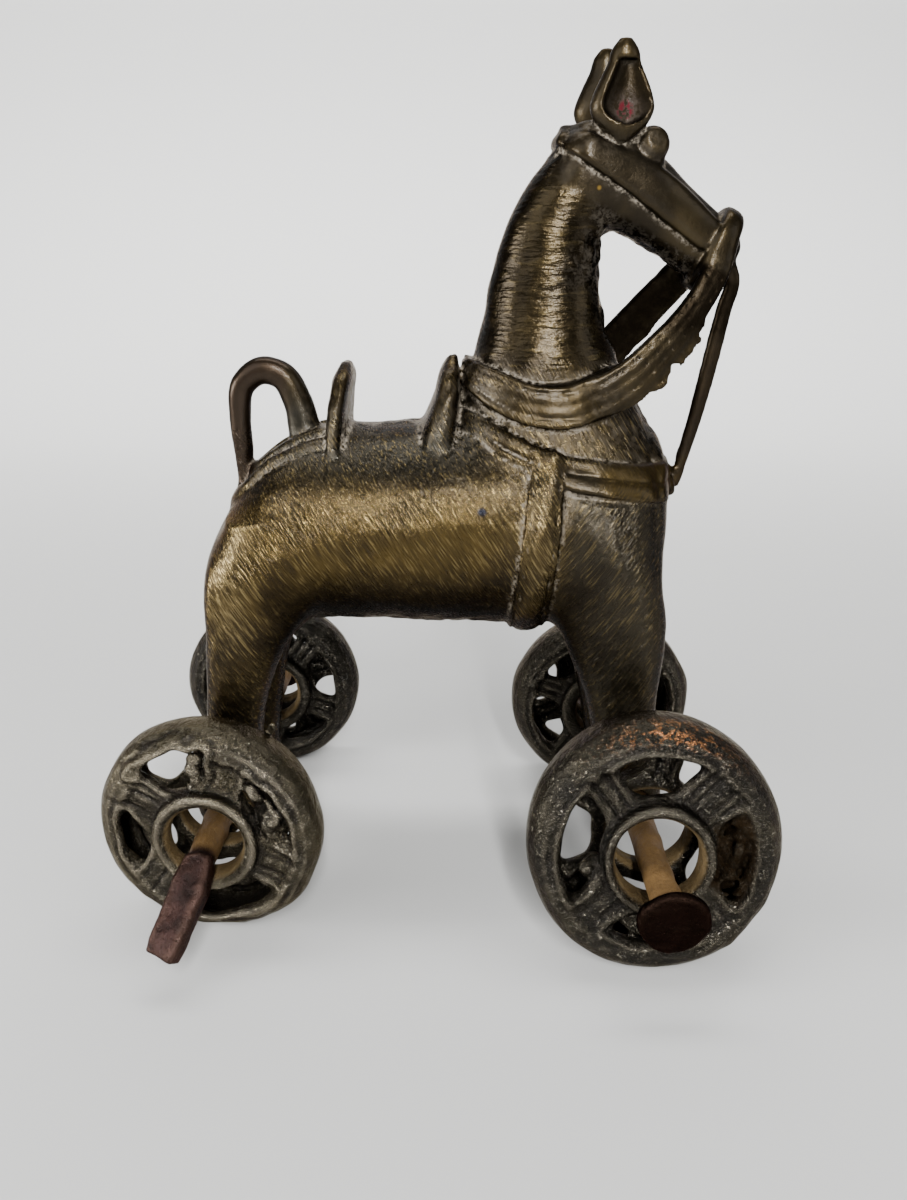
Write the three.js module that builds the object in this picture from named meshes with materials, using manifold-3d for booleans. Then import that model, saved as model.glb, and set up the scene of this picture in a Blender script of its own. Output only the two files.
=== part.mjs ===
// A cast metal horse on four pierced wheels that turn loosely on two iron nails.
// Sizes are in millimetres. +Z is up, the horse faces +X and its right side is -Y.
// The origin is on the ground, below the middle of the whole toy.

import * as THREE from 'three';
import { mergeVertices } from 'three/addons/utils/BufferGeometryUtils.js';
import Module from 'manifold-3d';

const wasm = await Module();
wasm.setup();

// Driving dimensions of the running gear: the two nails, and the wheels by their outer ends
const SMALL_WHEEL_RADIUS = 22.5;
const LARGE_WHEEL_RADIUS = 24.1;
const HALF_LENGTH = 66.1;
const HALF_WIDTH = 56.2;
const NAIL_RADIUS = 2.9;
const NAIL_HEAD_RADIUS = 6.3;
const NAIL_HEAD_THICKNESS = 2.2;
const NAIL_BEND_Y = 37;
const NAIL_HOLE_PLAY = 0.5;
const REAR_AXLE = { x: -44.4, nailZ: 18.75 };
const FRONT_AXLE = { x: 42.3, nailZ: 19.8 };

// Driving dimensions of a wheel: a hollow tyre, a dished face with openings between broad
// spokes, and a collar round the hub that stands out from the face
const WHEEL_SIDES = 16;
const WHEEL_WALL = 2.2;
const COLLAR_HALF_WIDTH = 8.2;
const COLLAR_BEVEL = 1;
const COLLAR_FOOT = 0.5;
const COLLAR_INNER_HALF_WIDTH = 3.2;
const HUB_RADIUS = 10.4;
const FACE_HALF_WIDTH = 5.4;
const LIP_HALF_WIDTH = 6.3;
const LIP_WIDTH = 4.2;
const RIM_WIDTH = 5.6;
const SHOULDER_WIDTH = 1.3;
const SHOULDER_HALF_WIDTH = 4.6;
const TREAD_HALF_WIDTH = 1.6;
const EVEN_SPOKES = 5;
const SPOKE_WIDTH = 7;
const OPENING_MARGIN = 0.4;
const CORNER_CUT = 1.6;
const CORNER_ANGLE = 0.14;

// Driving dimensions of the horse
const LEG_MIDDLE_Y = 12.9;
const HEAD_PITCH = THREE.MathUtils.degToRad(27);
const HEAD_BACK = new THREE.Vector3(27, 0, 143.5);
const STRAP_RISE = 1.1;
const REIN_RISE = 1.9;
const REIN_THICKNESS = 2.6;
const STRIP_THICKNESS = 2;
const CORD_WIDTH = 2.4;
const FOOT_RADIUS = NAIL_RADIUS + 3.5;
const FOOT_HALF_WIDTH = 5.9;
const EYE_RADIUS = 2.9;
const EYE_PLACE = { along: 10.6, height: 8.6, y: 4.6 };
const RIGHT_EAR_X = 34.2;
const LEFT_EAR_X = 32;
const EAR_MIDDLE_Y = 6.4;
const EAR_BASE_Z = 148;
const EAR_LEAN_BACK = 0.06;
const EAR_CUP = { share: 0.74, centreZ: 153, outwards: 2, forwards: 0.6 };

// Ovals of the skinned forms: the number of sides, and the power that squares them off
const BARREL_OVAL = { sides: 14, power: 2.1 };
const NECK_OVAL = { sides: 12, power: 2.2 };
const LEG_OVAL = { sides: 10, power: 2.4 };
const HEAD_OVAL = { sides: 12, power: 2.3 };
const EAR_OVAL = { sides: 8, power: 2 };
const PLATE_OVAL = { sides: 10, power: 3 };
const BAR_OVAL = { sides: 8, power: 2.6 };
const STRIP_OVAL = { sides: 6, power: 2.6 };
const NAIL_OVAL = { sides: 10, power: 2 };

const MERGE_DISTANCE = 1e-4;
const X = new THREE.Vector3(1, 0, 0);
const Y = new THREE.Vector3(0, 1, 0);
const Z = new THREE.Vector3(0, 0, 1);

// Turns a closed geometry into a solid that can be joined and cut
function solid(geometry) {
  const bare = geometry.clone();
  bare.deleteAttribute('normal');
  bare.deleteAttribute('uv');
  const merged = mergeVertices(bare, MERGE_DISTANCE);
  return new wasm.Manifold(new wasm.Mesh({
    numProp: 3,
    vertProperties: Float32Array.from(merged.attributes.position.array),
    triVerts: Uint32Array.from(merged.index.array),
  }));
}

function joined(solids) {
  return solids.reduce((whole, piece) => whole.add(piece));
}

function named(name, body, material) {
  const { vertProperties, triVerts } = body.getMesh();
  const geometry = new THREE.BufferGeometry();
  geometry.setAttribute('position', new THREE.BufferAttribute(vertProperties, 3));
  geometry.setIndex(new THREE.BufferAttribute(triVerts, 1));
  geometry.computeVertexNormals();
  const mesh = new THREE.Mesh(geometry, material);
  mesh.name = name;
  return mesh;
}

// A rounded coordinate of an oval: power 2 gives an ellipse and higher powers a boxier form
function rounded(value, power) {
  return Math.sign(value) * Math.abs(value) ** (2 / power);
}

// Skins a row of oval stations. A station has a middle, two unit directions that span its
// oval, and the half sizes along them.
function skin(stations, { sides, power }) {
  const positions = [];
  for (const { middle, across, over, halfAcross, halfOver } of stations) {
    for (let i = 0; i < sides; i += 1) {
      const angle = (2 * Math.PI * (i + 0.5)) / sides;
      const point = middle.clone();
      point.addScaledVector(across, halfAcross * rounded(Math.cos(angle), power));
      point.addScaledVector(over, halfOver * rounded(Math.sin(angle), power));
      positions.push(...point.toArray());
    }
  }
  const last = stations.length - 1;
  positions.push(...stations[0].middle.toArray(), ...stations[last].middle.toArray());
  const firstCentre = stations.length * sides;
  const triangles = [];
  for (let i = 0; i < sides; i += 1) {
    const next = (i + 1) % sides;
    triangles.push([firstCentre, next, i]);
    triangles.push([firstCentre + 1, last * sides + i, last * sides + next]);
    for (let ring = 0; ring < last; ring += 1) {
      const near = ring * sides;
      const far = near + sides;
      triangles.push([near + i, near + next, far + next], [near + i, far + next, far + i]);
    }
  }
  const along = stations[1].middle.clone().sub(stations[0].middle);
  const turned = stations[0].across.clone().cross(stations[0].over).dot(along) < 0;
  const geometry = new THREE.BufferGeometry();
  geometry.setAttribute('position', new THREE.Float32BufferAttribute(positions, 3));
  geometry.setIndex(triangles.flatMap(([a, b, c]) => (turned ? [a, c, b] : [a, b, c])));
  return solid(geometry);
}

// The barrel of the body from rump to chest. A row is x, top, bottom and half width.
const BARREL_ROWS = [
  [-46.8, 68, 58, 6],
  [-45, 73, 56, 13],
  [-40.4, 81.8, 55.6, 17.6],
  [-33, 90.6, 56.2, 19.6],
  [-24, 96, 57, 20],
  [-12, 97, 57, 20],
  [24, 97, 56, 20],
  [36, 96.6, 57, 19.2],
  [42.4, 94, 59, 16.4],
  [45.9, 90.4, 64, 11.4],
  [47, 86.5, 70, 6.5],
];

function barrel(rise = 0) {
  const stations = BARREL_ROWS.map(([x, top, bottom, halfWidth], row) => {
    const isEnd = row === 0 || row === BARREL_ROWS.length - 1;
    return {
      middle: new THREE.Vector3(x + (isEnd ? Math.sign(x) * rise : 0), 0, (top + bottom) / 2),
      across: Y,
      over: Z,
      halfAcross: halfWidth + rise,
      halfOver: (top - bottom) / 2 + rise,
    };
  });
  return skin(stations, BARREL_OVAL);
}

// An upright form, such as a leg or the neck. A row is z, its back, its front and half width.
function upright(rows, oval, { y = 0, rise = 0 } = {}) {
  const stations = rows.map(([z, back, front, halfWidth]) => ({
    middle: new THREE.Vector3((back + front) / 2, y, z),
    across: X,
    over: Y,
    halfAcross: (front - back) / 2 + rise,
    halfOver: halfWidth + rise,
  }));
  return skin(stations, oval);
}

const NECK_ROWS = [
  [86, 1, 46, 11],
  [92, 2.5, 45.4, 14],
  [100, 4.8, 41.4, 13],
  [108, 7.4, 37.2, 11.2],
  [116, 9.8, 33.6, 9.6],
  [125, 11.4, 31.6, 8.5],
  [134, 14.2, 32.6, 7.9],
  [141, 18.4, 36, 7.6],
  [146, 22.9, 37, 6.6],
  [149.2, 25.5, 34, 4],
];

function neck(rise = 0) {
  return upright(NECK_ROWS, NECK_OVAL, { rise });
}

// The rows of a leg end in a rounded foot about the nail. A row of the foot is its height
// and half length, both as shares of the foot's radius.
const FOOT_ROWS = [
  [0.3, 1],
  [-0.6, 0.86],
  [-1, 0.4],
];

function legRows(axle, upperRows) {
  const foot = FOOT_ROWS.map(([height, halfLength]) => [
    axle.nailZ + FOOT_RADIUS * height,
    axle.x - FOOT_RADIUS * halfLength,
    axle.x + FOOT_RADIUS * halfLength,
    FOOT_HALF_WIDTH,
  ]);
  return [...upperRows, ...foot];
}

const REAR_LEG_ROWS = legRows(REAR_AXLE, [
  [79, -38.6, -25, 4],
  [70, -43.2, -22, 6.6],
  [61, -45, -25.4, 7.1],
  [54, -45.8, -29.8, 6.8],
  [43, -46.6, -34.2, 6.3],
  [32, -48, -36.4, 6],
]);
const FRONT_LEG_ROWS = legRows(FRONT_AXLE, [
  [82, 26, 38, 4],
  [72, 23.6, 43.2, 6.8],
  [62, 24.2, 46.6, 7.2],
  [54, 27.2, 47, 6.9],
  [43, 31.4, 46.2, 6.4],
  [32, 34, 46.4, 6],
]);

function legs() {
  const pieces = [];
  for (const rows of [REAR_LEG_ROWS, FRONT_LEG_ROWS]) {
    for (const side of [-1, 1]) {
      pieces.push(upright(rows, LEG_OVAL, { y: side * LEG_MIDDLE_Y }));
    }
  }
  return joined(pieces);
}

// The head lies along a line that dips forward. A row is the way along that line from its
// back end, the top, the bottom and the half width.
const HEAD_ROWS = [
  [-4.4, 3.2, 0, 3.6],
  [-3, 5.4, -2.4, 5.8],
  [4, 7.6, -7.6, 7.2],
  [12, 8.4, -6.4, 7],
  [20, 6.5, -6.3, 6],
  [27, 5.1, -7, 5.3],
  [31.4, 4.6, -6.4, 4.8],
  [33.8, 2.2, -4.4, 3.4],
];

const HEAD_ALONG = new THREE.Vector3(Math.cos(HEAD_PITCH), 0, -Math.sin(HEAD_PITCH));
const HEAD_UP = new THREE.Vector3(Math.sin(HEAD_PITCH), 0, Math.cos(HEAD_PITCH));

function onHead(along, height, y = 0) {
  const point = HEAD_BACK.clone().addScaledVector(HEAD_ALONG, along);
  return point.addScaledVector(HEAD_UP, height).addScaledVector(Y, y);
}

function head(rise = 0) {
  const stations = HEAD_ROWS.map(([along, top, bottom, halfWidth]) => ({
    middle: onHead(along, (top + bottom) / 2),
    across: Y,
    over: HEAD_UP,
    halfAcross: halfWidth + rise,
    halfOver: (top - bottom) / 2 + rise,
  }));
  return skin(stations, HEAD_OVAL);
}

function eyes() {
  return joined([-1, 1].map((side) => {
    const ball = new THREE.SphereGeometry(EYE_RADIUS, 8, 5);
    const { along, height, y } = EYE_PLACE;
    ball.translate(...onHead(along, height, side * y).toArray());
    return solid(ball);
  }));
}

// An ear is a pointed spoon that opens outwards. A row is z, half width and half thickness.
const EAR_ROWS = [
  [146.4, 2, 1.2],
  [149, 5, 2.4],
  [152, 5.6, 2.8],
  [156, 4.4, 2.5],
  [160, 2.7, 1.7],
  [162.8, 0.8, 0.7],
];

function earForm(side, baseX, { share, centreZ, outwards, forwards }) {
  return skin(EAR_ROWS.map(([fullZ, halfWidth, halfThickness]) => {
    const z = centreZ + (fullZ - centreZ) * share;
    const x = baseX - EAR_LEAN_BACK * (z - EAR_BASE_Z) + forwards;
    return {
      middle: new THREE.Vector3(x, side * (EAR_MIDDLE_Y + outwards), z),
      across: X,
      over: Y,
      halfAcross: halfWidth * share,
      halfOver: halfThickness * share,
    };
  }), EAR_OVAL);
}

function ear(side, baseX) {
  const whole = earForm(side, baseX, { share: 1, centreZ: EAR_BASE_Z, outwards: 0, forwards: 0 });
  return whole.subtract(earForm(side, baseX, EAR_CUP));
}

// The saddle's cantle and pommel are leaf-shaped plates across the back
const CANTLE_ROWS = [
  [92, -20.8, -16.8, 13.4],
  [98, -20.4, -16.4, 12.4],
  [103, -19.7, -15.8, 10.2],
  [107, -18.7, -15.3, 6.8],
  [109, -17.6, -15.9, 3],
];
const POMMEL_ROWS = [
  [92, -3.2, 5, 13.6],
  [98, -1.7, 5.3, 12.4],
  [103, 0.4, 5.5, 10],
  [108, 1.9, 5.4, 6.4],
  [110, 3.2, 4.9, 3],
];

function horns() {
  return upright(CANTLE_ROWS, PLATE_OVAL).add(upright(POMMEL_ROWS, PLATE_OVAL));
}

// A bar with an oval section along a smooth line. A row is x, y, z, the size across the line
// in the side view, and the thickness at a right angle to that.
function bar(rows, steps, oval = BAR_OVAL) {
  const line = new THREE.CatmullRomCurve3(rows.map(([x, y, z]) => new THREE.Vector3(x, y, z)));
  const size = new THREE.CatmullRomCurve3(rows.map(([, , , wide, thick]) => (
    new THREE.Vector3(wide, thick, 0)
  )));
  const stations = [];
  for (let i = 0; i <= steps; i += 1) {
    const along = line.getTangent(i / steps);
    const sideways = Y.clone().addScaledVector(along, -along.y).normalize();
    const { x: wide, y: thick } = size.getPoint(i / steps);
    stations.push({
      middle: line.getPoint(i / steps),
      across: along.clone().cross(sideways),
      over: sideways,
      halfAcross: wide / 2,
      halfOver: thick / 2,
    });
  }
  return skin(stations, oval);
}

// The tail stands up, bends over in a loop, and its tip lies against the rump
const TAIL_ROWS = [
  [-25.5, 0, 94, 6.6, 6.6],
  [-26.9, 0, 101.5, 5.7, 5.6],
  [-29.6, 0, 106.2, 5.4, 5.4],
  [-33.6, 0, 107.2, 5.3, 5.2],
  [-37.3, 0, 104.6, 4.8, 4.8],
  [-38.5, 0, 98, 4.2, 4.2],
  [-38.3, 0, 90.5, 3.6, 3.6],
  [-38.8, 0, 84.6, 2, 2.2],
];

// The reins run free from the neck to the nose: the right one sags, the left one is straight
const RIGHT_REIN_ROWS = [
  [22, -10.6, 101.8, 7.2, REIN_THICKNESS],
  [30, -11.5, 102.9, 7.6, REIN_THICKNESS],
  [37.4, -11.2, 107.2, 7, REIN_THICKNESS],
  [42.8, -10, 112.4, 6, REIN_THICKNESS],
  [48.2, -8.4, 118.6, 5.2, REIN_THICKNESS],
  [52.4, -6.4, 125.6, 4.8, REIN_THICKNESS],
  [54, -4.4, 130.4, 4.8, REIN_THICKNESS],
];
const LEFT_REIN_ROWS = [
  [27, 11.4, 102, 7.2, REIN_THICKNESS],
  [33, 11.4, 107, 7.2, REIN_THICKNESS],
  [41, 9.8, 116, 7, REIN_THICKNESS],
  [50, 6.2, 126.4, 6.4, REIN_THICKNESS],
];

// A loose strip hangs from the nose and ends just in front of the chest
const HANGING_STRIP_ROWS = [
  [55.4, -2, 127.5, 3, STRIP_THICKNESS],
  [56.4, -1.6, 121, 3, STRIP_THICKNESS],
  [55.4, -1.2, 110, 3.4, STRIP_THICKNESS],
  [52.9, -1, 97, 2.8, STRIP_THICKNESS],
  [50.1, -0.8, 85.2, 2.2, STRIP_THICKNESS],
];

// A ribbon drawn in a flat view. A row is its two coordinates there and the width.
function ribbon(rows, steps) {
  const points = rows.map(([u, v, width]) => new THREE.Vector3(u, v, width));
  const line = new THREE.CatmullRomCurve3(points);
  const upper = [];
  const lower = [];
  for (let i = 0; i <= steps; i += 1) {
    const { x, y, z: width } = line.getPoint(i / steps);
    const along = line.getTangent(i / steps);
    const normal = new THREE.Vector2(-along.y, along.x).normalize().multiplyScalar(width / 2);
    upper.push(new THREE.Vector2(x + normal.x, y + normal.y));
    lower.unshift(new THREE.Vector2(x - normal.x, y - normal.y));
  }
  return new THREE.Shape([...upper, ...lower]);
}

// Side views are extruded across the whole horse, and plan views upwards from a height
const HALF_REACH = 30;

function acrossHorse(shape) {
  const geometry = new THREE.ExtrudeGeometry(shape, { depth: 2 * HALF_REACH, bevelEnabled: false });
  geometry.rotateX(Math.PI / 2);
  geometry.translate(0, HALF_REACH, 0);
  return solid(geometry);
}

function upwards(shape, { from, height }) {
  const geometry = new THREE.ExtrudeGeometry(shape, { depth: height, bevelEnabled: false });
  geometry.translate(0, 0, from);
  return solid(geometry);
}

// Harness seen from the side: middle line points and widths
const COLLAR_UPPER = [
  [5, 99.5, 3.4],
  [14, 96.2, 3.4],
  [22, 92.6, 3.4],
  [31, 90.5, 3.4],
  [52, 89.6, 3.4],
];
const COLLAR_LOWER = [
  [20, 89.6, 3.4],
  [30, 87.6, 3.2],
  [52, 86, 3],
];
const NECK_BAND = [
  [4, 108.4, 4],
  [11, 105.2, 6.2],
  [19, 102.1, 7.4],
  [26, 101.8, 7.6],
  [33, 104.6, 7.4],
];
const GIRTH_BAND = [
  [22.4, 92, 7],
  [21, 80, 7.2],
  [20, 66, 7.4],
  [19.4, 50, 7.6],
];
const GIRTH_RIDGE = GIRTH_BAND.map(([x, z, width]) => [x, z, width / 2]);
const CHEEK_BAND = [
  [20, 150, 4],
  [27, 146.5, 4.6],
  [36, 142, 6.6],
  [44, 137, 6.6],
  [50.2, 132.2, 5.4],
];
const NOSE_BAND = [onHead(29.8, 12), onHead(29.8, -12)].map(({ x, z }) => [x, z, 4.4]);

// The two crupper cords seen from above: each runs round the root of the tail
const CRUPPER_CORDS = [[6.2, -36.5], [10.4, -40.5]].map(([halfWidth, back]) => {
  const rightHalf = [
    [-18, halfWidth],
    [-27, halfWidth],
    [back + 2.6, 0.72 * halfWidth],
  ];
  const leftHalf = rightHalf.map(([x, y]) => [x, -y]).reverse();
  return [...rightHalf, [back, 0], ...leftHalf].map(([x, y]) => [x, y, CORD_WIDTH]);
});
const CORD_HEIGHTS = { from: 76, height: 24 };

function harness() {
  const hide = barrel(STRAP_RISE).add(neck(STRAP_RISE));
  const highHide = barrel(REIN_RISE).add(neck(REIN_RISE));
  const bands = [
    hide.intersect(acrossHorse(ribbon(COLLAR_UPPER, 5))),
    hide.intersect(acrossHorse(ribbon(COLLAR_LOWER, 2))),
    highHide.intersect(acrossHorse(ribbon(NECK_BAND, 6))),
    barrel(STRAP_RISE).intersect(acrossHorse(ribbon(GIRTH_BAND, 3))),
    barrel(REIN_RISE).intersect(acrossHorse(ribbon(GIRTH_RIDGE, 3))),
    head(STRAP_RISE).intersect(acrossHorse(ribbon(CHEEK_BAND, 3))),
    head(REIN_RISE).intersect(acrossHorse(ribbon(NOSE_BAND, 1))),
  ];
  for (const cord of CRUPPER_CORDS) {
    bands.push(barrel(STRAP_RISE).intersect(upwards(ribbon(cord, 8), CORD_HEIGHTS)));
  }
  return joined(bands);
}

function nailHole(axle) {
  const radius = NAIL_RADIUS + NAIL_HOLE_PLAY;
  const hole = new THREE.CylinderGeometry(radius, radius, 2 * HALF_REACH, 12);
  hole.translate(axle.x, 0, axle.nailZ);
  return solid(hole);
}

function horse() {
  const whole = joined([
    barrel(),
    neck(),
    head(),
    legs(),
    eyes(),
    ear(-1, RIGHT_EAR_X),
    ear(1, LEFT_EAR_X),
    horns(),
    harness(),
    bar(TAIL_ROWS, 11),
    bar(RIGHT_REIN_ROWS, 8),
    bar(LEFT_REIN_ROWS, 4),
    bar(HANGING_STRIP_ROWS, 6, STRIP_OVAL),
  ]);
  return whole.subtract(nailHole(REAR_AXLE)).subtract(nailHole(FRONT_AXLE));
}

// The half section of a wheel: its outer line from the hole to the tread and the inner line
// back again, as radius and distance from the middle plane
function wheelSection({ radius, holeRadius }) {
  const outer = [
    [holeRadius, COLLAR_HALF_WIDTH - COLLAR_BEVEL],
    [holeRadius + COLLAR_BEVEL, COLLAR_HALF_WIDTH],
    [HUB_RADIUS, COLLAR_HALF_WIDTH],
    [HUB_RADIUS + COLLAR_FOOT, FACE_HALF_WIDTH],
    [radius - RIM_WIDTH, FACE_HALF_WIDTH],
    [radius - LIP_WIDTH, LIP_HALF_WIDTH],
    [radius - SHOULDER_WIDTH, SHOULDER_HALF_WIDTH],
    [radius, TREAD_HALF_WIDTH],
  ];
  const innerTread = [radius - WHEEL_WALL, 0];
  const inner = [
    [radius - RIM_WIDTH, FACE_HALF_WIDTH - WHEEL_WALL],
    [holeRadius, COLLAR_INNER_HALF_WIDTH],
  ];
  const mirrored = (points) => points.map(([away, y]) => [away, -y]).reverse();
  return [...outer, ...mirrored(outer), ...mirrored(inner), innerTread, ...inner].reverse();
}

// One opening of a wheel side between two spokes, cut from the middle plane outwards
function wheelOpening(spoke, nextSpoke, side) {
  const innerRadius = HUB_RADIUS + OPENING_MARGIN;
  const outerRadius = spoke.openTo;
  const edge = ({ width }, radius) => Math.asin(width / 2 / radius);
  const at = (radius, angle) => (
    new THREE.Vector2(radius * Math.cos(angle), radius * Math.sin(angle))
  );
  const start = spoke.angle + edge(spoke, outerRadius);
  const end = nextSpoke.angle - edge(nextSpoke, outerRadius);
  const outline = [
    at(innerRadius, spoke.angle + edge(spoke, innerRadius)),
    at(outerRadius - CORNER_CUT, start),
    at(outerRadius, start + CORNER_ANGLE),
    at(outerRadius, end - CORNER_ANGLE),
    at(outerRadius - CORNER_CUT, end),
    at(innerRadius, nextSpoke.angle - edge(nextSpoke, innerRadius)),
  ];
  const depth = 2 * FACE_HALF_WIDTH;
  const geometry = new THREE.ExtrudeGeometry(new THREE.Shape(outline), { depth, bevelEnabled: false });
  geometry.rotateX(Math.PI / 2);
  geometry.translate(0, side > 0 ? depth : 0, 0);
  return solid(geometry);
}

// The spokes of a wheel side as rows of angle in degrees, width, and the radius that the
// opening after the spoke reaches. Angles are counted from +X towards +Z.
function spokesOf(rows) {
  return rows.map(([angle, width, openTo]) => (
    { angle: THREE.MathUtils.degToRad(angle), width, openTo }
  ));
}

function evenSpokes(first, radius) {
  const openTo = radius - RIM_WIDTH - OPENING_MARGIN;
  return Array.from({ length: EVEN_SPOKES }, (_, i) => (
    [first + (360 / EVEN_SPOKES) * i, SPOKE_WIDTH, openTo]
  ));
}

// A wheel about its own axis along Y, still with a true plane
function wheel(form) {
  const facet = 1 / Math.cos(Math.PI / WHEEL_SIDES);
  const loop = wheelSection(form).map(([radius, y]) => new THREE.Vector2(radius * facet, y));
  loop.push(loop[0].clone());
  const lathe = new THREE.LatheGeometry(loop, WHEEL_SIDES, Math.PI / WHEEL_SIDES);
  let body = solid(lathe);
  for (const [side, rows] of [[-1, form.rightSpokes], [1, form.leftSpokes]]) {
    const spokes = spokesOf(rows);
    spokes.forEach((spoke, i) => {
      const first = spokes[(i + 1) % spokes.length];
      const wraps = i + 1 === spokes.length;
      const next = { ...first, angle: first.angle + (wraps ? 2 * Math.PI : 0) };
      body = body.subtract(wheelOpening(spoke, next, side));
    });
  }
  return body;
}

// A nail's head. A row is the depth below its top and the radius.
const NAIL_HEAD_ROWS = [
  [0, NAIL_HEAD_RADIUS - 1],
  [0.7, NAIL_HEAD_RADIUS],
  [NAIL_HEAD_THICKNESS - 0.3, NAIL_HEAD_RADIUS - 0.2],
  [NAIL_HEAD_THICKNESS, NAIL_RADIUS],
];

// A nail's far end, hammered flat and bent. A row is the way outwards from the bend, the way
// back, the way down, the half width and the half thickness.
const NAIL_END_ROWS = [
  [0, 0, 0, NAIL_RADIUS, NAIL_RADIUS],
  [2.4, 0.3, 1, 3.3, 2.4],
  [8.2, 2, 5, 3.5, 2],
  [12.8, 3.6, 8.8, 3.5, 1.8],
  [14.4, 4.4, 10.6, 3.4, 1.7],
];
const NAIL_END_DIRECTION = { back: 0.2, outwards: 0.8, down: 0.57 };

function nail(axle, headSide) {
  const { back, outwards, down } = NAIL_END_DIRECTION;
  const endDirection = new THREE.Vector3(-back, -headSide * outwards, -down).normalize();
  const head = NAIL_HEAD_ROWS.map(([depth, radius]) => ({
    middle: new THREE.Vector3(axle.x, headSide * (HALF_WIDTH - depth), axle.nailZ),
    across: X,
    over: Z,
    halfAcross: radius,
    halfOver: radius,
  }));
  const end = NAIL_END_ROWS.map(([out, behind, below, halfAcross, halfOver], row) => {
    const along = row === 0 ? Y.clone().multiplyScalar(-headSide) : endDirection;
    const over = Z.clone().addScaledVector(along, -along.z).normalize();
    const y = -headSide * (NAIL_BEND_Y + out);
    return {
      middle: new THREE.Vector3(axle.x - behind, y, axle.nailZ - below),
      across: along.clone().cross(over).multiplyScalar(-headSide),
      over,
      halfAcross,
      halfOver,
    };
  });
  return skin([...head, ...end], NAIL_OVAL);
}

// Materials
const castMetal = new THREE.MeshStandardMaterial({ color: 0x4d4228, roughness: 0.42, metalness: 0.9 });
const wheelMetal = new THREE.MeshStandardMaterial({ color: 0x5c5140, roughness: 0.48, metalness: 0.9 });
const rustyIron = new THREE.MeshStandardMaterial({ color: 0x4a2f28, roughness: 0.7, metalness: 0.6 });

const toy = new THREE.Group();
toy.add(named('horse', horse(), castMetal));
toy.add(named('axle_rear', nail(REAR_AXLE, 1), rustyIron));
toy.add(named('axle_front', nail(FRONT_AXLE, -1), rustyIron));

// The wheels are hand-cut and their hubs are wide, so each has a place, a size, a hole and a
// lean of its own. The rear wheels and the large front wheel reach the ends of the toy.
const REAR_WHEEL_X = SMALL_WHEEL_RADIUS - HALF_LENGTH;
const WHEELS = [
  {
    name: 'wheel_rear_right',
    radius: SMALL_WHEEL_RADIUS,
    holeRadius: 7.2,
    x: REAR_WHEEL_X,
    y: -28.6,
    lean: { perX: -0.105, perZ: 0 },
    rightSpokes: [[73, 8.5, 19], [149, 9.5, 16.6], [234, 14, 17.4], [338, 9.5, 16.6]],
    leftSpokes: evenSpokes(20, SMALL_WHEEL_RADIUS),
  },
  {
    name: 'wheel_rear_left',
    radius: SMALL_WHEEL_RADIUS,
    holeRadius: 7.2,
    x: REAR_WHEEL_X,
    y: 37.6,
    lean: { perX: 0, perZ: 0 },
    rightSpokes: evenSpokes(50, SMALL_WHEEL_RADIUS),
    leftSpokes: evenSpokes(12, SMALL_WHEEL_RADIUS),
  },
  {
    name: 'wheel_front_right',
    radius: LARGE_WHEEL_RADIUS,
    holeRadius: 7.7,
    x: HALF_LENGTH - LARGE_WHEEL_RADIUS,
    y: -36.8,
    lean: { perX: 0, perZ: 0.18 },
    rightSpokes: [[47, 11, 18.4], [128, 6.8, 17.8], [224, 9, 17.2], [313, 8, 17.4]],
    leftSpokes: evenSpokes(4, LARGE_WHEEL_RADIUS),
  },
  {
    name: 'wheel_front_left',
    radius: SMALL_WHEEL_RADIUS,
    holeRadius: 6.2,
    x: 41.7,
    y: 27.8,
    lean: { perX: 0, perZ: 0 },
    rightSpokes: [
      [38, 5.5, 16.6],
      [95, 5.5, 16.6],
      [160, 6, 16.8],
      [234, 6, 16.6],
      [318, 6, 16.6],
    ],
    leftSpokes: evenSpokes(60, SMALL_WHEEL_RADIUS),
  },
];

// The lean moves a wheel's points along y alone, by so much for each mm of x and z. The hole
// and the tread keep their true places along the other axes, and the tread's flat its height.
for (const form of WHEELS) {
  const { name, x, y, radius, lean } = form;
  const mesh = named(name, wheel(form), wheelMetal);
  mesh.geometry.applyMatrix4(new THREE.Matrix4().makeShear(lean.perX, 0, 0, 0, 0, lean.perZ));
  mesh.geometry.computeVertexNormals();
  mesh.position.set(x, y, radius);
  toy.add(mesh);
}

export default toy;
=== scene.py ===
"""A cast metal toy horse on four pierced wheels, which turn loosely on two bent iron nails.

Each form is drawn as a field: about the distance in millimetres from a point to the metal,
negative inside it. The fields of a casting are joined, cut and roughened on a grid of points,
and a mesh in metres is drawn where the field is zero.
"""
import itertools
import math

import bpy
import numpy as np
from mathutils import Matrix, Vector


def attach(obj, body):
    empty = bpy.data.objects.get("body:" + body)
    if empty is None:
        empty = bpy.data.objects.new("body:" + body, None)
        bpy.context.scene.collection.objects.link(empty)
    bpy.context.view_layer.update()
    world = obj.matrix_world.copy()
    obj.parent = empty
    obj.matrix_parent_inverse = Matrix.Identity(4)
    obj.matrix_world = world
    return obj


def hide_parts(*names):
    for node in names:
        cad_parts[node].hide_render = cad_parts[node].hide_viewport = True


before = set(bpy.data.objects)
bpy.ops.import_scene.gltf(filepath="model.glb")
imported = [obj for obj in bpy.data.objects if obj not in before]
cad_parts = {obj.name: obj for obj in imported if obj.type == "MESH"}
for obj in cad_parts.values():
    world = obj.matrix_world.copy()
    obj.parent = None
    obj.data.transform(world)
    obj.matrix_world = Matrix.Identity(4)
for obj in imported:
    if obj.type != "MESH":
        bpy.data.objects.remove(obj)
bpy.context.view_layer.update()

MM = 0.001
# A distance far from any metal, and what keeps a division from zero
FAR = 50.0
SMALL = 1e-3
# Brings the random values of lumps to a spread of about 0.9
LUMP_GAIN = 2.6
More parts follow.
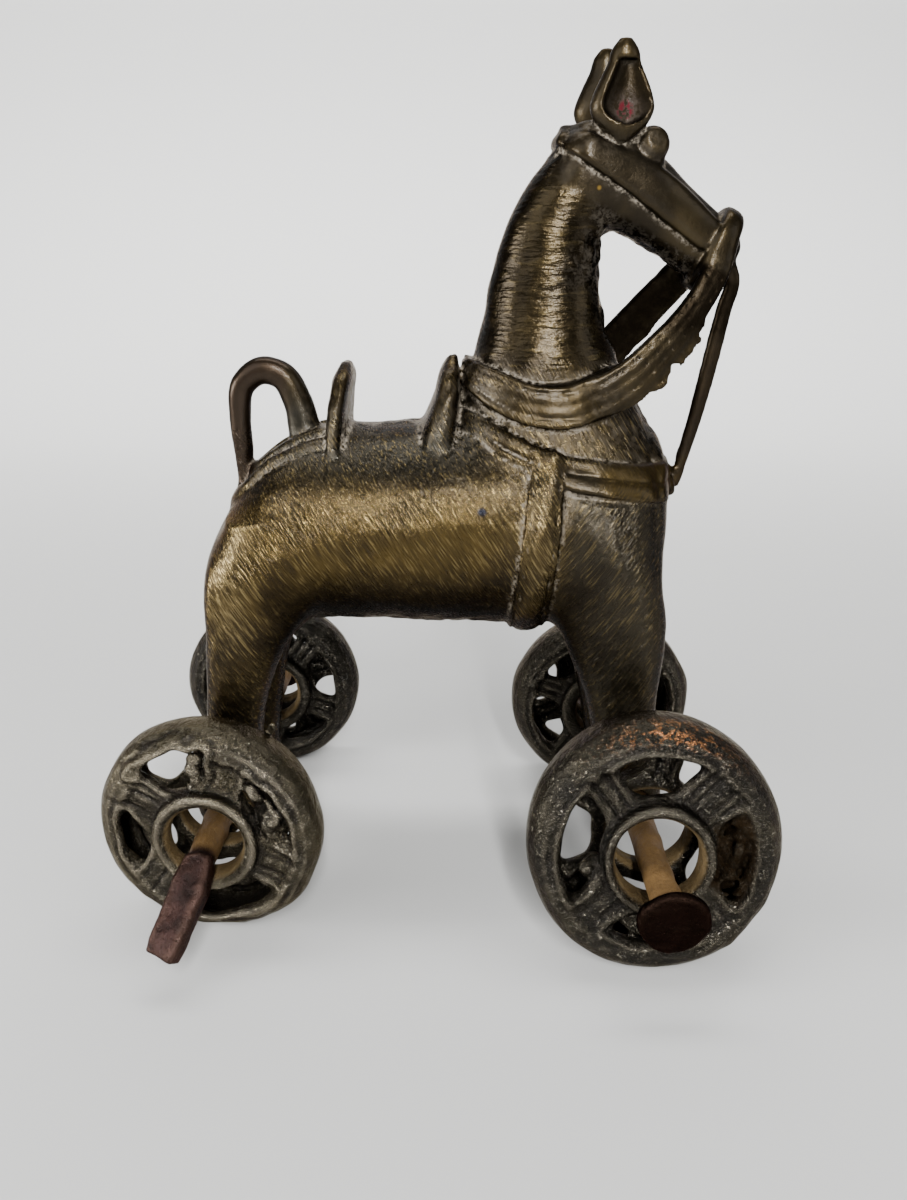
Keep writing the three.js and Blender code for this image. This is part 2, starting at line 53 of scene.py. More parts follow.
# How many points are compared with a line at a time
CHUNK = 200000

# The steps of the grids in millimetres, and about how many triangles a mesh keeps
HORSE_STEP = 0.5
WHEEL_STEP = 0.42
NAIL_STEP = 0.45
HORSE_TRIANGLES = 190000
WHEEL_TRIANGLES = 90000
NAIL_TRIANGLES = 40000

# Sizes in millimetres, as in the CAD model or close to it
LEG_MIDDLE_Y = 12.9
HEAD_BACK = np.array([27.0, 0.0, 143.5])
HEAD_PITCH = math.radians(27)
EYE_RADIUS = 3.1
NAIL_RADIUS = 2.9
NAIL_HEAD_RADIUS = 6.3
NAIL_HEAD_THICKNESS = 2.2
NAIL_HOLE_RADIUS = 3.4


# Fields and grids

def soft_min(a, b, blend):
    """The union of two fields with a fillet of about the size of blend."""
    share = np.clip(0.5 + 0.5 * (b - a) / blend, 0, 1)
    return b + (a - b) * share - blend * share * (1 - share)


def soft_max(a, b, blend):
    return -soft_min(-a, -b, blend)


def bell(value, middle, width):
    """1 at the middle, falling to nothing a few widths away."""
    return np.exp(-(((value - middle) / width) ** 2))


def fade(value, low, high):
    """0 below low, 1 above high and smooth between; low may be the larger."""
    share = np.clip((value - low) / (high - low), 0, 1)
    return share * share * (3 - 2 * share)


def within(value, start, full, still_full, end):
    """1 over a stretch, fading to 0 before and after it."""
    return fade(value, start, full) * fade(value, end, still_full)


def through(rows, keys):
    """Smooth values through rows that start with their key: one array for each other column."""
    table = np.array(sorted(rows, key=lambda row: row[0]), float)
    at, values = table[:, 0], table[:, 1:]
    slopes = np.gradient(values, at, axis=0)
    index = np.clip(np.searchsorted(at, keys) - 1, 0, len(at) - 2)
    width = (at[index + 1] - at[index])[..., None]
    s = np.clip((np.asarray(keys)[..., None] - at[index][..., None]) / width, 0, 1)
    result = (1 + 2 * s) * (1 - s) ** 2 * values[index]
    result += s * s * (3 - 2 * s) * values[index + 1]
    result += width * s * (1 - s) * ((1 - s) * slopes[index] - s * slopes[index + 1])
    return np.moveaxis(result, -1, 0)


def oval(u, v, half_u, half_v, power=2.0):
    """The field of an oval: power 2 is an ellipse and higher powers are boxier."""
    ratio = (np.abs(u / half_u) ** power + np.abs(v / half_v) ** power) ** (1 / power)
    reach = np.sqrt(u * u + v * v)
    return reach - (reach + SMALL) / (ratio + SMALL / np.minimum(half_u, half_v))


def slab(u, v, half_u, half_v, corner):
    """The field of a rectangle with round corners."""
    past_u = np.abs(u) - half_u + corner
    past_v = np.abs(v) - half_v + corner
    outside = np.hypot(np.maximum(past_u, 0), np.maximum(past_v, 0))
    return outside + np.minimum(np.maximum(past_u, past_v), 0) - corner


def cut_off(field, value, rows):
    """The field ended square at the first and the last key of its rows."""
    keys = [row[0] for row in rows]
    return np.maximum(field, np.maximum(value - max(keys), min(keys) - value))


# Each axis with the two that follow it
TURNS = ((0, 1, 2), (1, 2, 0), (2, 0, 1))


class Grid:
    """Evenly spaced points in a box, each with one value of a field."""

    def __init__(self, low, high, step):
        self.step = step
        self.low = np.array(low, float)
        counts = np.ceil((np.array(high) - self.low) / step).astype(int) + 1
        self.axes = [self.low[i] + step * np.arange(counts[i]) for i in range(3)]
        self.field = np.full(counts, FAR, np.float32)

    def points(self, low=(-math.inf,) * 3, high=(math.inf,) * 3):
        """The slices and the open x, y and z arrays of the points in a box."""
        cuts = []
        for i, axis in enumerate(self.axes):
            first = int(np.clip((low[i] - self.low[i]) / self.step, 0, len(axis) - 2))
            last = int(np.clip((high[i] - self.low[i]) / self.step + 2, 2, len(axis)))
            cuts.append(slice(first, last))
        x, y, z = (axis[cut] for axis, cut in zip(self.axes, cuts))
        return tuple(cuts), x[:, None, None], y[None, :, None], z[None, None, :]

    def add(self, shape, low, high, blend):
        """Joins the shape, a function of x, y and z, onto the field inside a box."""
        cuts, x, y, z = self.points(low, high)
        self.join(cuts, shape(x, y, z), blend)

    def join(self, cuts, field, blend):
        """Joins another field onto a part of this one."""
        self.field[cuts] = soft_min(self.field[cuts], field, blend)

    def even_out(self):
        """Scales the field so that it grows by about 1 mm in each mm."""
        growth = np.sqrt(sum(part * part for part in np.gradient(self.field, self.step)))
        self.field = self.field / np.clip(growth, 0.6, 1.6)

    def lumps(self, size, seed):
        """Smooth random values of a given grain."""
        weights = []
        for axis in self.axes:
            place = (axis - axis[0]) / size
            base = np.floor(place).astype(int)
            s = place - base
            table = np.zeros((len(place), int(len(axis) * self.step / size) + 5))
            spline = [(1 - s) ** 3, 3 * s**3 - 6 * s**2 + 4, -3 * s**3 + 3 * s**2 + 3 * s + 1, s**3]
            for shift, weight in enumerate(spline):
                table[np.arange(len(place)), base + shift] = weight / 6
            weights.append(table)
        lattice = np.random.default_rng(seed).normal(size=[w.shape[1] for w in weights])
        result = np.einsum("ai,bj,ck,ijk->abc", *weights, lattice, optimize=True)
        return (result * LUMP_GAIN).astype(np.float32)

    def sample(self, points):
        """The field at any points, in a straight line between the grid's own."""
        local = (points - self.low) / self.step
        base = np.clip(np.floor(local), 0, np.array(self.field.shape) - 2).astype(int)
        share = local - base
        total = 0
        for corner in itertools.product((0, 1), repeat=3):
            weight = np.prod(np.where(corner, share, 1 - share), axis=1)
            total = total + weight * self.field[tuple((base + corner).T)]
        return total

    def slope(self, points):
        """The direction in which the field grows, with its steepness."""
        reach = self.step * np.eye(3)
        parts = [self.sample(points + way) - self.sample(points - way) for way in reach]
        return np.stack(parts, axis=1) / (2 * self.step)

    def settle(self, points):
        """The points moved along the slope onto the surface."""
        slope = self.slope(points)
        steepness = np.maximum((slope * slope).sum(1), 0.1)
        move = self.sample(points) / steepness
        return points - np.clip(move, -self.step, self.step)[:, None] * slope

    def crossings(self, cells):
        """The middle of the places where the surface cuts each cell's edges."""
        total = np.zeros((len(cells), 3))
        hits = np.zeros(len(cells))
        for axis, a, b in TURNS:
            for i, j in itertools.product((0, 1), repeat=2):
                start = np.zeros(3, int)
                start[a], start[b] = i, j
                finish = start.copy()
                finish[axis] = 1
                here = self.field[tuple((cells + start).T)]
                there = self.field[tuple((cells + finish).T)]
                cut = (here < 0) != (there < 0)
                share = here[cut] / (here[cut] - there[cut])
                total[cut] += start + share[:, None] * (finish - start)
                hits += cut
        return self.low + self.step * (cells + total / hits[:, None])

    def surface(self):
        """The points and the four-cornered faces of the surface where the field is zero."""
        inside = self.field < 0
        ends = [slice(0, -1), slice(1, None)]
        corners = itertools.product(ends, repeat=3)
        count = sum(inside[corner].astype(np.int8) for corner in corners)
        crossing = (count > 0) & (count < 8)
        cells = np.argwhere(crossing)
        index = np.full(crossing.shape, -1, np.int32)
        index[crossing] = np.arange(len(cells))
        faces = []
        for axis, a, b in TURNS:
            here = np.moveaxis(inside, axis, 0)
            edges = np.argwhere(here[:-1] != here[1:])
            edges = edges[:, np.argsort([axis] + [n for n in range(3) if n != axis])]
            edges = edges[(edges[:, a] > 0) & (edges[:, b] > 0)]
            edges = edges[(edges < np.array(crossing.shape)).all(1)]
            step_a, step_b = np.eye(3, dtype=int)[[a, b]]
            ring = (edges - step_a - step_b, edges - step_b, edges, edges - step_a)
            quads = np.stack([index[tuple(cell.T)] for cell in ring], axis=1)
            outward = inside[tuple(edges.T)]
            faces.append(np.where(outward[:, None], quads, quads[:, ::-1]))
        return self.crossings(cells), np.concatenate(faces)


class Line:
    """A smooth line through rows of x, y, z and any sizes, with its own directions."""

    def __init__(self, rows, spacing=0.3, over=(0, 1, 0)):
        rows = np.array(rows, float)
        chords = np.linalg.norm(np.diff(rows[:, :3], axis=0), axis=1)
        keys = np.concatenate([[0], np.cumsum(chords)])
        self.way = np.linspace(0, keys[-1], int(keys[-1] / spacing) + 2)
        values = through(np.column_stack([keys, rows]), self.way)
        self.places = values[:3].T
        self.sizes = values[3:]
        along = np.gradient(self.places, axis=0)
        self.along = along / np.linalg.norm(along, axis=1)[:, None]
        over = np.array(over) - self.along * (self.along @ over)[:, None]
        self.over = over / np.linalg.norm(over, axis=1)[:, None]
        self.across = np.cross(self.along, self.over)

    def local(self, x, y, z):
        """Where points lie about the line: across, over, past an end, and the nearest place."""
        x, y, z = np.broadcast_arrays(x, y, z)
        points = np.stack([x, y, z], -1).reshape(-1, 3)
        nearest = np.empty(len(points), int)
        squares = (self.places**2).sum(1)
        for first in range(0, len(points), CHUNK):
            chunk = slice(first, first + CHUNK)
            nearest[chunk] = (squares - 2 * points[chunk] @ self.places.T).argmin(1)
        offset = points - self.places[nearest]
        across = (offset * self.across[nearest]).sum(1)
        over = (offset * self.over[nearest]).sum(1)
        along = (offset * self.along[nearest]).sum(1)
        past = np.where(nearest == 0, np.minimum(along, 0), 0)
        past = past + np.where(nearest == len(self.places) - 1, np.maximum(along, 0), 0)
        return [part.reshape(x.shape) for part in (across, over, past, nearest)]


def round_bar(line):
    """A bar with an oval section; its two sizes are the full sizes across and over."""
    def shape(x, y, z):
        across, over, past, at = line.local(x, y, z)
        wide, thick = line.sizes[:, at] / 2
        return oval(np.hypot(across, past), over, wide, thick, 2.3)
    return shape


# The horse's forms, mostly in the rows of the CAD model, with finer ones for the ears and the
# strip: along the barrel and the head, a row is its place, top, bottom and half width, and along
# a bar it is x, y, z, width and thickness

BARREL_ROWS = [
    (-46.8, 68, 58, 6), (-45, 73, 56, 13), (-40.4, 81.8, 55.6, 17.6), (-33, 90.6, 56.2, 19.6),
    (-24, 96, 57, 20), (-12, 97, 57, 20), (24, 97, 56, 20), (36, 96.6, 57, 19.2),
    (42.4, 94, 59, 16.4), (45.9, 90.4, 64, 11.4), (47, 86.5, 70, 6.5),
]
NECK_ROWS = [
    (86, 1, 46, 11), (92, 2.5, 45.4, 14), (100, 4.8, 41.4, 13), (108, 7.4, 37.2, 11.2),
    (116, 9.8, 33.6, 9.6), (125, 11.4, 31.6, 8.5), (134, 14.2, 32.6, 7.9), (141, 18.4, 36, 7.6),
    (146, 22.9, 37, 6.6), (149.2, 25.5, 34, 4),
]
REAR_AXLE_X, REAR_NAIL_Z = -44.4, 18.75
FRONT_AXLE_X, FRONT_NAIL_Z = 42.3, 19.8
REAR_LEG_ROWS = [
    (79, -38.6, -25, 4), (70, -43.2, -22, 6.6), (61, -45, -25.4, 7.1), (54, -45.8, -29.8, 6.8),
    (43, -46.6, -34.2, 6.3), (32, -48, -36.4, 6), (20.7, -50.8, -38, 5.9),
    (14.9, -49.9, -38.9, 5.9), (12.4, -47, -41.8, 5.9),
]
FRONT_LEG_ROWS = [
    (82, 26, 38, 4), (72, 23.6, 43.2, 6.8), (62, 24.2, 46.6, 7.2), (54, 27.2, 47, 6.9),
    (43, 31.4, 46.2, 6.4), (32, 34, 46.4, 6), (21.7, 35.9, 48.7, 5.9), (16, 36.8, 47.8, 5.9),
    (13.4, 39.7, 44.9, 5.9),
]
HEAD_ROWS = [
    (-4.4, 3.2, 0, 3.6), (-3, 5.4, -2.4, 5.8), (4, 7.6, -7.6, 7.2), (12, 8.4, -6.4, 7),
    (20, 6.5, -6.3, 6), (27, 5.1, -7, 5.3), (31.4, 4.6, -6.4, 4.8), (33.8, 2.2, -4.4, 3.4),
]
EAR_ROWS = [
    (146.8, 1.4, 1.2), (148.8, 3.7, 2.4), (150.4, 5, 2.8), (152, 5.6, 3), (154, 5.2, 3),
    (156.3, 4.2, 2.6), (159.2, 2.8, 2.1), (161.2, 2.2, 1.7), (162.7, 1, 1),
]
EAR_CUP_ROWS = [
    (149.5, 0.9), (150.2, 2.6), (151.2, 4), (152.7, 4.6), (154.3, 4.2), (156.3, 3.4), (158.2, 2.7),
    (159.4, 2.2),
]
EAR_CUP_FORWARDS = 0.9
EAR_CUP_OUTWARDS = 2.4
EAR_CUP_DEPTH = 2.2
EAR_MIDDLE_Y = 6.4
# Each ear: its side, the x of its middle and how much higher it stands
EARS = [(-1, 33.5, 0), (1, 32.2, 1)]
EYE_PLACE = (9.7, 8.5, 4.4)
CANTLE_ROWS = [
    (92, -20.8, -16.8, 13.4), (98, -20.4, -16.4, 12.4), (103, -19.7, -15.8, 10.2),
    (107, -18.7, -15.3, 6.8), (109, -17.6, -15.9, 3),
]
POMMEL_ROWS = [
    (92, -3.2, 5, 13.6), (98, -1.7, 5.3, 12.4), (103, 0.4, 5.5, 10), (108, 1.9, 5.4, 6.4),
    (110, 3.2, 4.9, 3),
]
TAIL_ROWS = [
    (-25.5, 0, 94, 6.6, 6.6), (-26.9, 0, 101.5, 5.7, 5.6), (-29.6, 0, 106.2, 5.4, 5.4),
    (-33.6, 0, 107.2, 5.3, 5.2), (-37.3, 0, 104.6, 4.8, 4.8), (-38.5, 0, 98, 4.2, 4.2),
    (-38.3, 0, 90.5, 3.6, 3.6), (-38.8, 0, 84.6, 2, 2.2),
]
REIN_THICKNESS = 2.6
RIGHT_REIN_ROWS = [
    (22, -10.6, 101.8, 7.2), (30, -11.5, 102.9, 7.6), (37.4, -11.2, 107.2, 7),
    (42.8, -10, 112.4, 6), (48.2, -8.4, 118.6, 5.2), (52.4, -6.4, 125.6, 4.8),
    (54, -4.4, 130.4, 4.8),
]
LEFT_REIN_ROWS = [
    (27, 11.4, 102, 7.2), (33, 11.4, 107, 7.2), (41, 9.8, 116, 7), (50, 6.2, 126.4, 6.4),
]
HANGING_STRIP_ROWS = [
    (55.4, -2, 127.5, 3, 2), (56.9, -1.8, 123.8, 2.9, 2), (56, -1.5, 119, 3, 2),
    (54.5, -1.2, 110, 3.2, 2), (52.3, -1, 98, 2.8, 2), (50.1, -0.8, 88, 2.3, 2),
    (49.6, -0.8, 85, 2, 1.8),
]

# Straps in the side view: rows of x, z and width
UPPER_COLLAR = [
    (5, 99.8, 2.4), (9, 98.6, 2.5), (14.6, 95.7, 2.7), (22, 92.7, 2.6), (31.4, 90.8, 2.6),
    (42.5, 89.3, 3.2), (52, 88.8, 3.4),
]
LOWER_COLLAR = [(22.6, 89.9, 2.2), (26, 88.7, 3), (31.4, 87.8, 3.3), (40, 86.4, 3.3), (52, 84.6, 3.8)]
COLLAR_LINE = [(4, 98, 1), (8.6, 96.9, 1), (12.8, 94, 1), (19.5, 91, 1)]
NECK_BAND = [
    (2, 109.6, 4.4), (6, 107.7, 5), (11, 105.2, 6.6), (19, 102.1, 7.4), (26, 101.9, 7.7),
    (34, 105.2, 7.2),
]
GIRTH = [
    (22.3, 91, 6.4), (21.3, 85.9, 6.6), (20.9, 80.2, 6.9), (20.3, 74, 7), (19.6, 66, 7.2),
    (19.1, 59, 7.4), (19.4, 52, 7.4),
]
CHEEK_BAND = [
    (20, 150.4, 3.6), (25, 147.6, 4.2), (29, 145.4, 5), (36, 142, 6.4), (44, 137, 7),
    (50.2, 132.2, 6),
]
BROW_BAND = [(24, 150.4, 2.2), (29.5, 149.6, 2.6), (35, 147.4, 3), (40.5, 144.2, 2.6)]


def upright(rows, middle_y=0.0, power=2.2):
    """A form that stands up. A row is its height, back, front and half width."""
    def shape(x, y, z):
        back, front, half_width = through(rows, z)
        across = oval(x - (back + front) / 2, y - middle_y, (front - back) / 2, half_width, power)
        return cut_off(across, z, rows)
    return shape


def barrel(x, y, z):
    top, bottom, half_width = through(BARREL_ROWS, x)
    across = oval(y, z - (top + bottom) / 2, half_width, (top - bottom) / 2, 2.1)
    return cut_off(across, x, BARREL_ROWS)


def head_place(x, z):
    """The way along the head from its back, and the height above its middle line."""
    dx, dz = x - HEAD_BACK[0], z - HEAD_BACK[2]
    along = dx * math.cos(HEAD_PITCH) - dz * math.sin(HEAD_PITCH)
    height = dx * math.sin(HEAD_PITCH) + dz * math.cos(HEAD_PITCH)
    return along, height


def head(x, y, z):
    along, height = head_place(x, z)
    top, bottom, half_width = through(HEAD_ROWS, along)
    across = oval(y, height - (top + bottom) / 2, half_width, (top - bottom) / 2, 2.3)
    return cut_off(across, along, HEAD_ROWS)


def eye(side):
    """A round boss with a shallow hollow and a pellet in it, which faces outwards and a little up."""
    def shape(x, y, z):
        along, height = head_place(x, z)
        ahead, up, out = along - EYE_PLACE[0], height - EYE_PLACE[1], side * y - EYE_PLACE[2]
        away = np.sqrt(ahead**2 + up**2 + out**2)
        facing = 0.94 * out + 0.34 * up
        aside = np.sqrt(np.maximum(away**2 - facing**2, 0))
        hollow = 0.95 * bell(aside, 0, 1.2) - 0.5 * bell(aside, 0, 0.6)
        return away - EYE_RADIUS + hollow * fade(facing, 0, 1.5)
    return shape


def ear_cup(side, base_x, x, y, z):
    """The field of the hollow in an ear, which ends square below the solid tip."""
    width = through(EAR_CUP_ROWS, z)[0]
    out = y - side * (EAR_MIDDLE_Y + EAR_CUP_OUTWARDS)
    cup = oval(x - base_x - EAR_CUP_FORWARDS, out, width, EAR_CUP_DEPTH)
    return cut_off(cup, z, EAR_CUP_ROWS)


def ear(side, base_x, lift):
    """A pointed spoon that opens outwards, with thick lips at its back and its foot."""
    def shape(x, y, z):
        z = z - lift
        half_width, half_thickness = through(EAR_ROWS, z)
        whole = oval(x - base_x, y - side * EAR_MIDDLE_Y, half_width, half_thickness)
        return soft_max(cut_off(whole, z, EAR_ROWS), -ear_cup(side, base_x, x, y, z), 0.5)
    return shape


def rein(line, grooves, fin):
    """A flat strap with grooves along it, and a thin torn fin of flash on its lower edge.

    A row of the fin is a way along the strap and how far the fin stands out there.
    """
    ways, reaches = zip(*fin)

    def shape(x, y, z):
        across, over, past, at = line.local(x, y, z)
        half = line.sizes[0][at] / 2
        u = across / half
        thin = 0.34 * bell(u, 0.62, 0.07) + 0.12 * bell(u, 0.1, 0.08) + 0.22 * bell(u, -0.5, 0.07)
        field = slab(np.hypot(across, past), over, half, REIN_THICKNESS / 2, 1.0) + grooves * thin
        reach = np.interp(line.way[at], ways, reaches)
        torn = np.maximum(np.abs(over + 0.3) - 0.5, np.maximum(-across - half - reach, across))
        torn = np.maximum(torn, np.abs(past) - 0.1)
        return soft_min(field, torn, 0.3)
    return shape


RIGHT_REIN_FIN = [
    (9, 0), (11, 0.6), (15.6, 1.1), (17.6, 1), (18.6, 1.9), (20.1, 2.5), (20.9, 1.9), (22.2, 1.2),
    (23.3, 0.7), (24.1, 1), (24.5, 2.4), (25.6, 1.8), (27.2, 2.1), (28.4, 1.7), (29.9, 2.3),
    (30.4, 0.9), (32, 0.8), (33.3, 0),
]
LEFT_REIN_FIN = [(8, 0), (12, 0.6), (16, 0.3), (20, 0.7), (23, 0)]


def raised(hide, rise, profile, line, *places):
    """The hide raised along a flat line, as wide as the line's size."""
    across, _, past, at = line.local(*places)
    half = line.sizes[0][at] / 2
    return soft_max(hide - rise * profile(across / half), np.hypot(across, past) - half, 0.8)


def plain(u):
    return 1 - 0.12 * u * u


def grooved(u):
    """Three grooves along a broad band."""
    return 1 - 0.2 * bell(u, 0.68, 0.09) - 0.1 * bell(u, 0.1, 0.08) - 0.16 * bell(u, -0.5, 0.09)


def corded(u):
    """A broad round cord between two thin ones."""
    middle = np.sqrt(np.clip(1 - (u / 0.72) ** 2, 0, 1))
    return 0.42 + 0.58 * middle + 0.22 * (bell(u, 0.88, 0.09) + bell(u, -0.88, 0.09))


# Each cord of the crupper: its half width at the cantle, and the x behind the tail
CRUPPER_CORDS = ((6.2, -36.5), (10.4, -40.5))
CRUPPER_WIDTH = 2.4


def crupper_line(half_width, back):
    """A line in plan that runs from the cantle round the root of the tail."""
    half = [(-18, half_width), (-27, half_width), (back + 2.6, 0.72 * half_width)]
    route = half + [(back, 0)] + [(x, -y) for x, y in reversed(half)]
    return Line([(x, 0, y, CRUPPER_WIDTH) for x, y in route])


def horse_grid():
    """The whole horse as one field."""
    grid = Grid((-53, -24, 11), (61, 24, 166), HORSE_STEP)
    grid.add(barrel, (-52, -24, 50), (52, 24, 103), 0.1)
    grid.add(upright(NECK_ROWS), (-5, -20, 82), (53, 20, 155), 5)
    grid.even_out()
    grid.field += 0.22 * grid.lumps(9, 1) + 0.08 * grid.lumps(3, 2)
    trunk = grid.field.copy()
    grid.add(head, (14, -13, 118), (64, 13, 160), 2.6)
    skull = grid.field.copy()
    add_limbs(grid)
    add_harness(grid, trunk, skull)
    grid.add(round_bar(Line(TAIL_ROWS)), (-45, -7, 80), (-18, 7, 113), 1.4)
    grid.add(rein(Line(RIGHT_REIN_ROWS), 1, RIGHT_REIN_FIN), (16, -17, 94), (62, -1, 137), 0.8)
    grid.add(rein(Line(LEFT_REIN_ROWS), 0.3, LEFT_REIN_FIN), (20, 1, 94), (60, 17, 136), 0.8)
    grid.add(round_bar(Line(HANGING_STRIP_ROWS)), (45, -6, 81), (61, 4, 132), 0.8)
    for axle_x, nail_z in ((REAR_AXLE_X, REAR_NAIL_Z), (FRONT_AXLE_X, FRONT_NAIL_Z)):
        cuts, x, _, z = grid.points((axle_x - 6, -24, 11), (axle_x + 6, 24, nail_z + 6))
        hole = np.hypot(x - axle_x, z - nail_z) - NAIL_HOLE_RADIUS
        grid.field[cuts] = soft_max(grid.field[cuts], -hole, 0.6)
    roughen_horse(grid)
    return grid


def add_limbs(grid):
    """Legs, eyes, ears and saddle plates."""
    for side in (-1, 1):
        y_low, y_high = sorted((side * 2.5, side * 23.5))
        for rows, x_low, x_high in ((REAR_LEG_ROWS, -53, -15), (FRONT_LEG_ROWS, 16, 53)):
            leg = upright(rows, side * LEG_MIDDLE_Y, 2.4)
            grid.add(leg, (x_low, y_low, 11), (x_high, y_high, 88), 4.5)
        grid.add(eye(side), (28, -11, 138), (48, 11, 156), 1.1)
    for side, x, lift in EARS:
        y_low, y_high = sorted((0, side * 14))
        grid.add(ear(side, x, lift), (x - 9, y_low, 144), (x + 9, y_high, 165), 1.2)
    grid.add(upright(CANTLE_ROWS, 0, 3), (-26, -18, 88), (-11, 18, 112), 1.6)
    grid.add(upright(POMMEL_ROWS, 0, 3), (-7, -18, 88), (10, 18, 113), 1.6)


def add_harness(grid, trunk, skull):
    """Collar, neck band, girth, crupper, bridle: bands raised over the trunk and the skull."""
    bands = [
        (trunk, UPPER_COLLAR, 1.0, plain, (-2, 78), (53, 104)),
        (trunk, LOWER_COLLAR, 1.1, plain, (18, 78), (53, 98)),
        (trunk, COLLAR_LINE, 0.7, plain, (-2, 86), (24, 102)),
        (trunk, GIRTH, 1.9, corded, (10, 52), (30, 98)),
        (trunk, NECK_BAND, 1.8, grooved, (-4, 92), (42, 116)),
        (skull, BROW_BAND, 0.9, plain, (18, 138), (46, 155)),
        (skull, CHEEK_BAND, 1.1, plain, (14, 124), (58, 156)),
    ]
    for hide, rows, rise, profile, low, high in bands:
        line = Line([(x, 0, z, width) for x, z, width in rows])
        cuts, x, y, z = grid.points((low[0], -24, low[1]), (high[0], 24, high[1]))
        grid.join(cuts, raised(hide[cuts], rise, profile, line, x, 0, z), 0.5)
    cuts, x, y, z = grid.points((-46, -16, 76), (-14, 16, 102))
    for half_width, back in CRUPPER_CORDS:
        line = crupper_line(half_width, back)
        grid.join(cuts, raised(trunk[cuts], 1.1, plain, line, x, 0, y), 0.5)
    cuts, x, y, z = grid.points((44, -12, 120), (62, 12, 144))
    along, _ = head_place(x, z)
    nose_band = soft_max(skull[cuts] - 1.9, np.abs(along - 29.8) - 2.2, 1.2)
    grid.join(cuts, nose_band, 0.6)


# The seam down the front of the neck: rows of height and x
SEAM_ROWS = [(88, 45), (100, 41), (108, 37), (116, 33.6), (125, 31.6), (134, 32.6)]


def roughen_horse(grid):
    """Rough cast patches: throat and jaw, the neck's front seam, chest, spine and plate edges."""
    _, x, y, z = grid.points()
    along, height = head_place(x, z)
    throat = fade(height, -5, -6.6) * fade(along, 4, 8) * fade(z, 122, 128)
    seam_x = through(SEAM_ROWS, z)[0]
    seam = bell(x, seam_x, 2.2) * bell(y, 0, 3.6) * fade(z, 88, 94) * fade(z, 142, 134)
    chest = bell(x, 47, 4) * bell(y, 0, 4) * bell(z, 84, 8)
    spine = bell(z, 97.4, 1.6) * bell(y, 0, 3) * fade(x, -16, -12) * fade(x, 0, -4)
    plates = fade(z, 99, 103) * np.maximum(bell(x, -20, 1.8), bell(x, 4.6, 1.8)) * fade(z, 114, 111)
    belly = bell(z, 57, 2.2) * fade(x, -32, -24) * fade(x, 26, 20) * (1 - bell(x, 19.3, 5))
    rough = np.clip(throat + seam + chest + spine + plates + 0.6 * belly, 0, 1)
    grid.field -= (0.5 * rough + 0.035) * grid.lumps(1.3, 11) * 0.5


# Wheels

WALL = 2.2
HUB_RADIUS = 10.4
COLLAR_HALF_WIDTH = 8.2
SMALL_RADIUS, LARGE_RADIUS = 22.5, 24.1
RIM_WIDTH = 6
COLLAR_MIDDLE = 5.7
OPENING_CORNER = 2.4
EVEN_SPOKES = 5
EVEN_SPOKE_WIDTH = 7
RAGGED = 0.15


def even_spokes(first, radius):
    turns = [first + 360 * number / EVEN_SPOKES for number in range(EVEN_SPOKES)]
    return [(turn, EVEN_SPOKE_WIDTH, radius - RIM_WIDTH) for turn in turns]


# A spoke is its angle in degrees from +x towards +z, its width, and how far out the opening
# after it reaches. The lean is how far y grows in each mm of x and z, the tone makes the patina
# lighter or darker and is painted shade on the two far wheels, and ragged is how uneven the
# edges of the openings are.
WHEELS = {
    "rear_right": {
        "place": (-43.6, -28.6), "radius": SMALL_RADIUS, "hole": 7.2, "lean": (-0.105, 0), "tone": 1.1,
        "ragged": 0.4,
        "right": [(73, 8.5, 19), (149, 9.5, 16.6), (234, 14, 17.4), (338, 9.5, 16.6)],
        "left": even_spokes(20, SMALL_RADIUS),
    },
    "rear_left": {
        "place": (-43.6, 37.6), "radius": SMALL_RADIUS, "hole": 7.2, "lean": (0, 0), "tone": 0.25,
        "right": even_spokes(50, SMALL_RADIUS), "left": even_spokes(12, SMALL_RADIUS),
    },
    "front_right": {
        "place": (42, -36.8), "radius": LARGE_RADIUS, "hole": 7.7, "lean": (0, 0.18), "tone": 0.43,
        "right": [(47, 11, 18.4), (128, 6.8, 17.8), (224, 9, 17.2), (313, 8, 17.4)],
        "left": even_spokes(4, LARGE_RADIUS),
    },
    "front_left": {
        "place": (41.7, 27.8), "radius": SMALL_RADIUS, "hole": 6.2, "lean": (0, 0), "tone": 0.5,
        "right": [(38, 5.5, 16.6), (95, 5.5, 16.6), (160, 6, 16.8), (234, 6, 16.6), (318, 6, 16.6)],
        "left": even_spokes(60, SMALL_RADIUS),
    },
}
# Lumps of clay core and broken flash: angle, radius, y, half sizes round, outwards and along y,
# and how rough the lump is
WHEEL_LUMPS = {
    "rear_right": [
        (14, 13.6, -2.2, 4.6, 3.2, 3.6, 0.6),
        (40, 14.2, -4.2, 2.4, 1.3, 1.6, 0.6),
        (95, 14.6, -4.6, 1.3, 3.4, 1.2, 0.9),
        (58, 21.6, 4.4, 0.9, 2.2, 0.5, 0.2),
    ],
    "front_right": [
        (358, 14.2, -2.4, 7.8, 4.2, 3.4, 1.5),
        (272, 13.8, -2.6, 6.4, 3.8, 2.8, 0.8),
        (196, 12.6, -3.4, 1.6, 2.4, 1.4, 0.7),
    ],
}


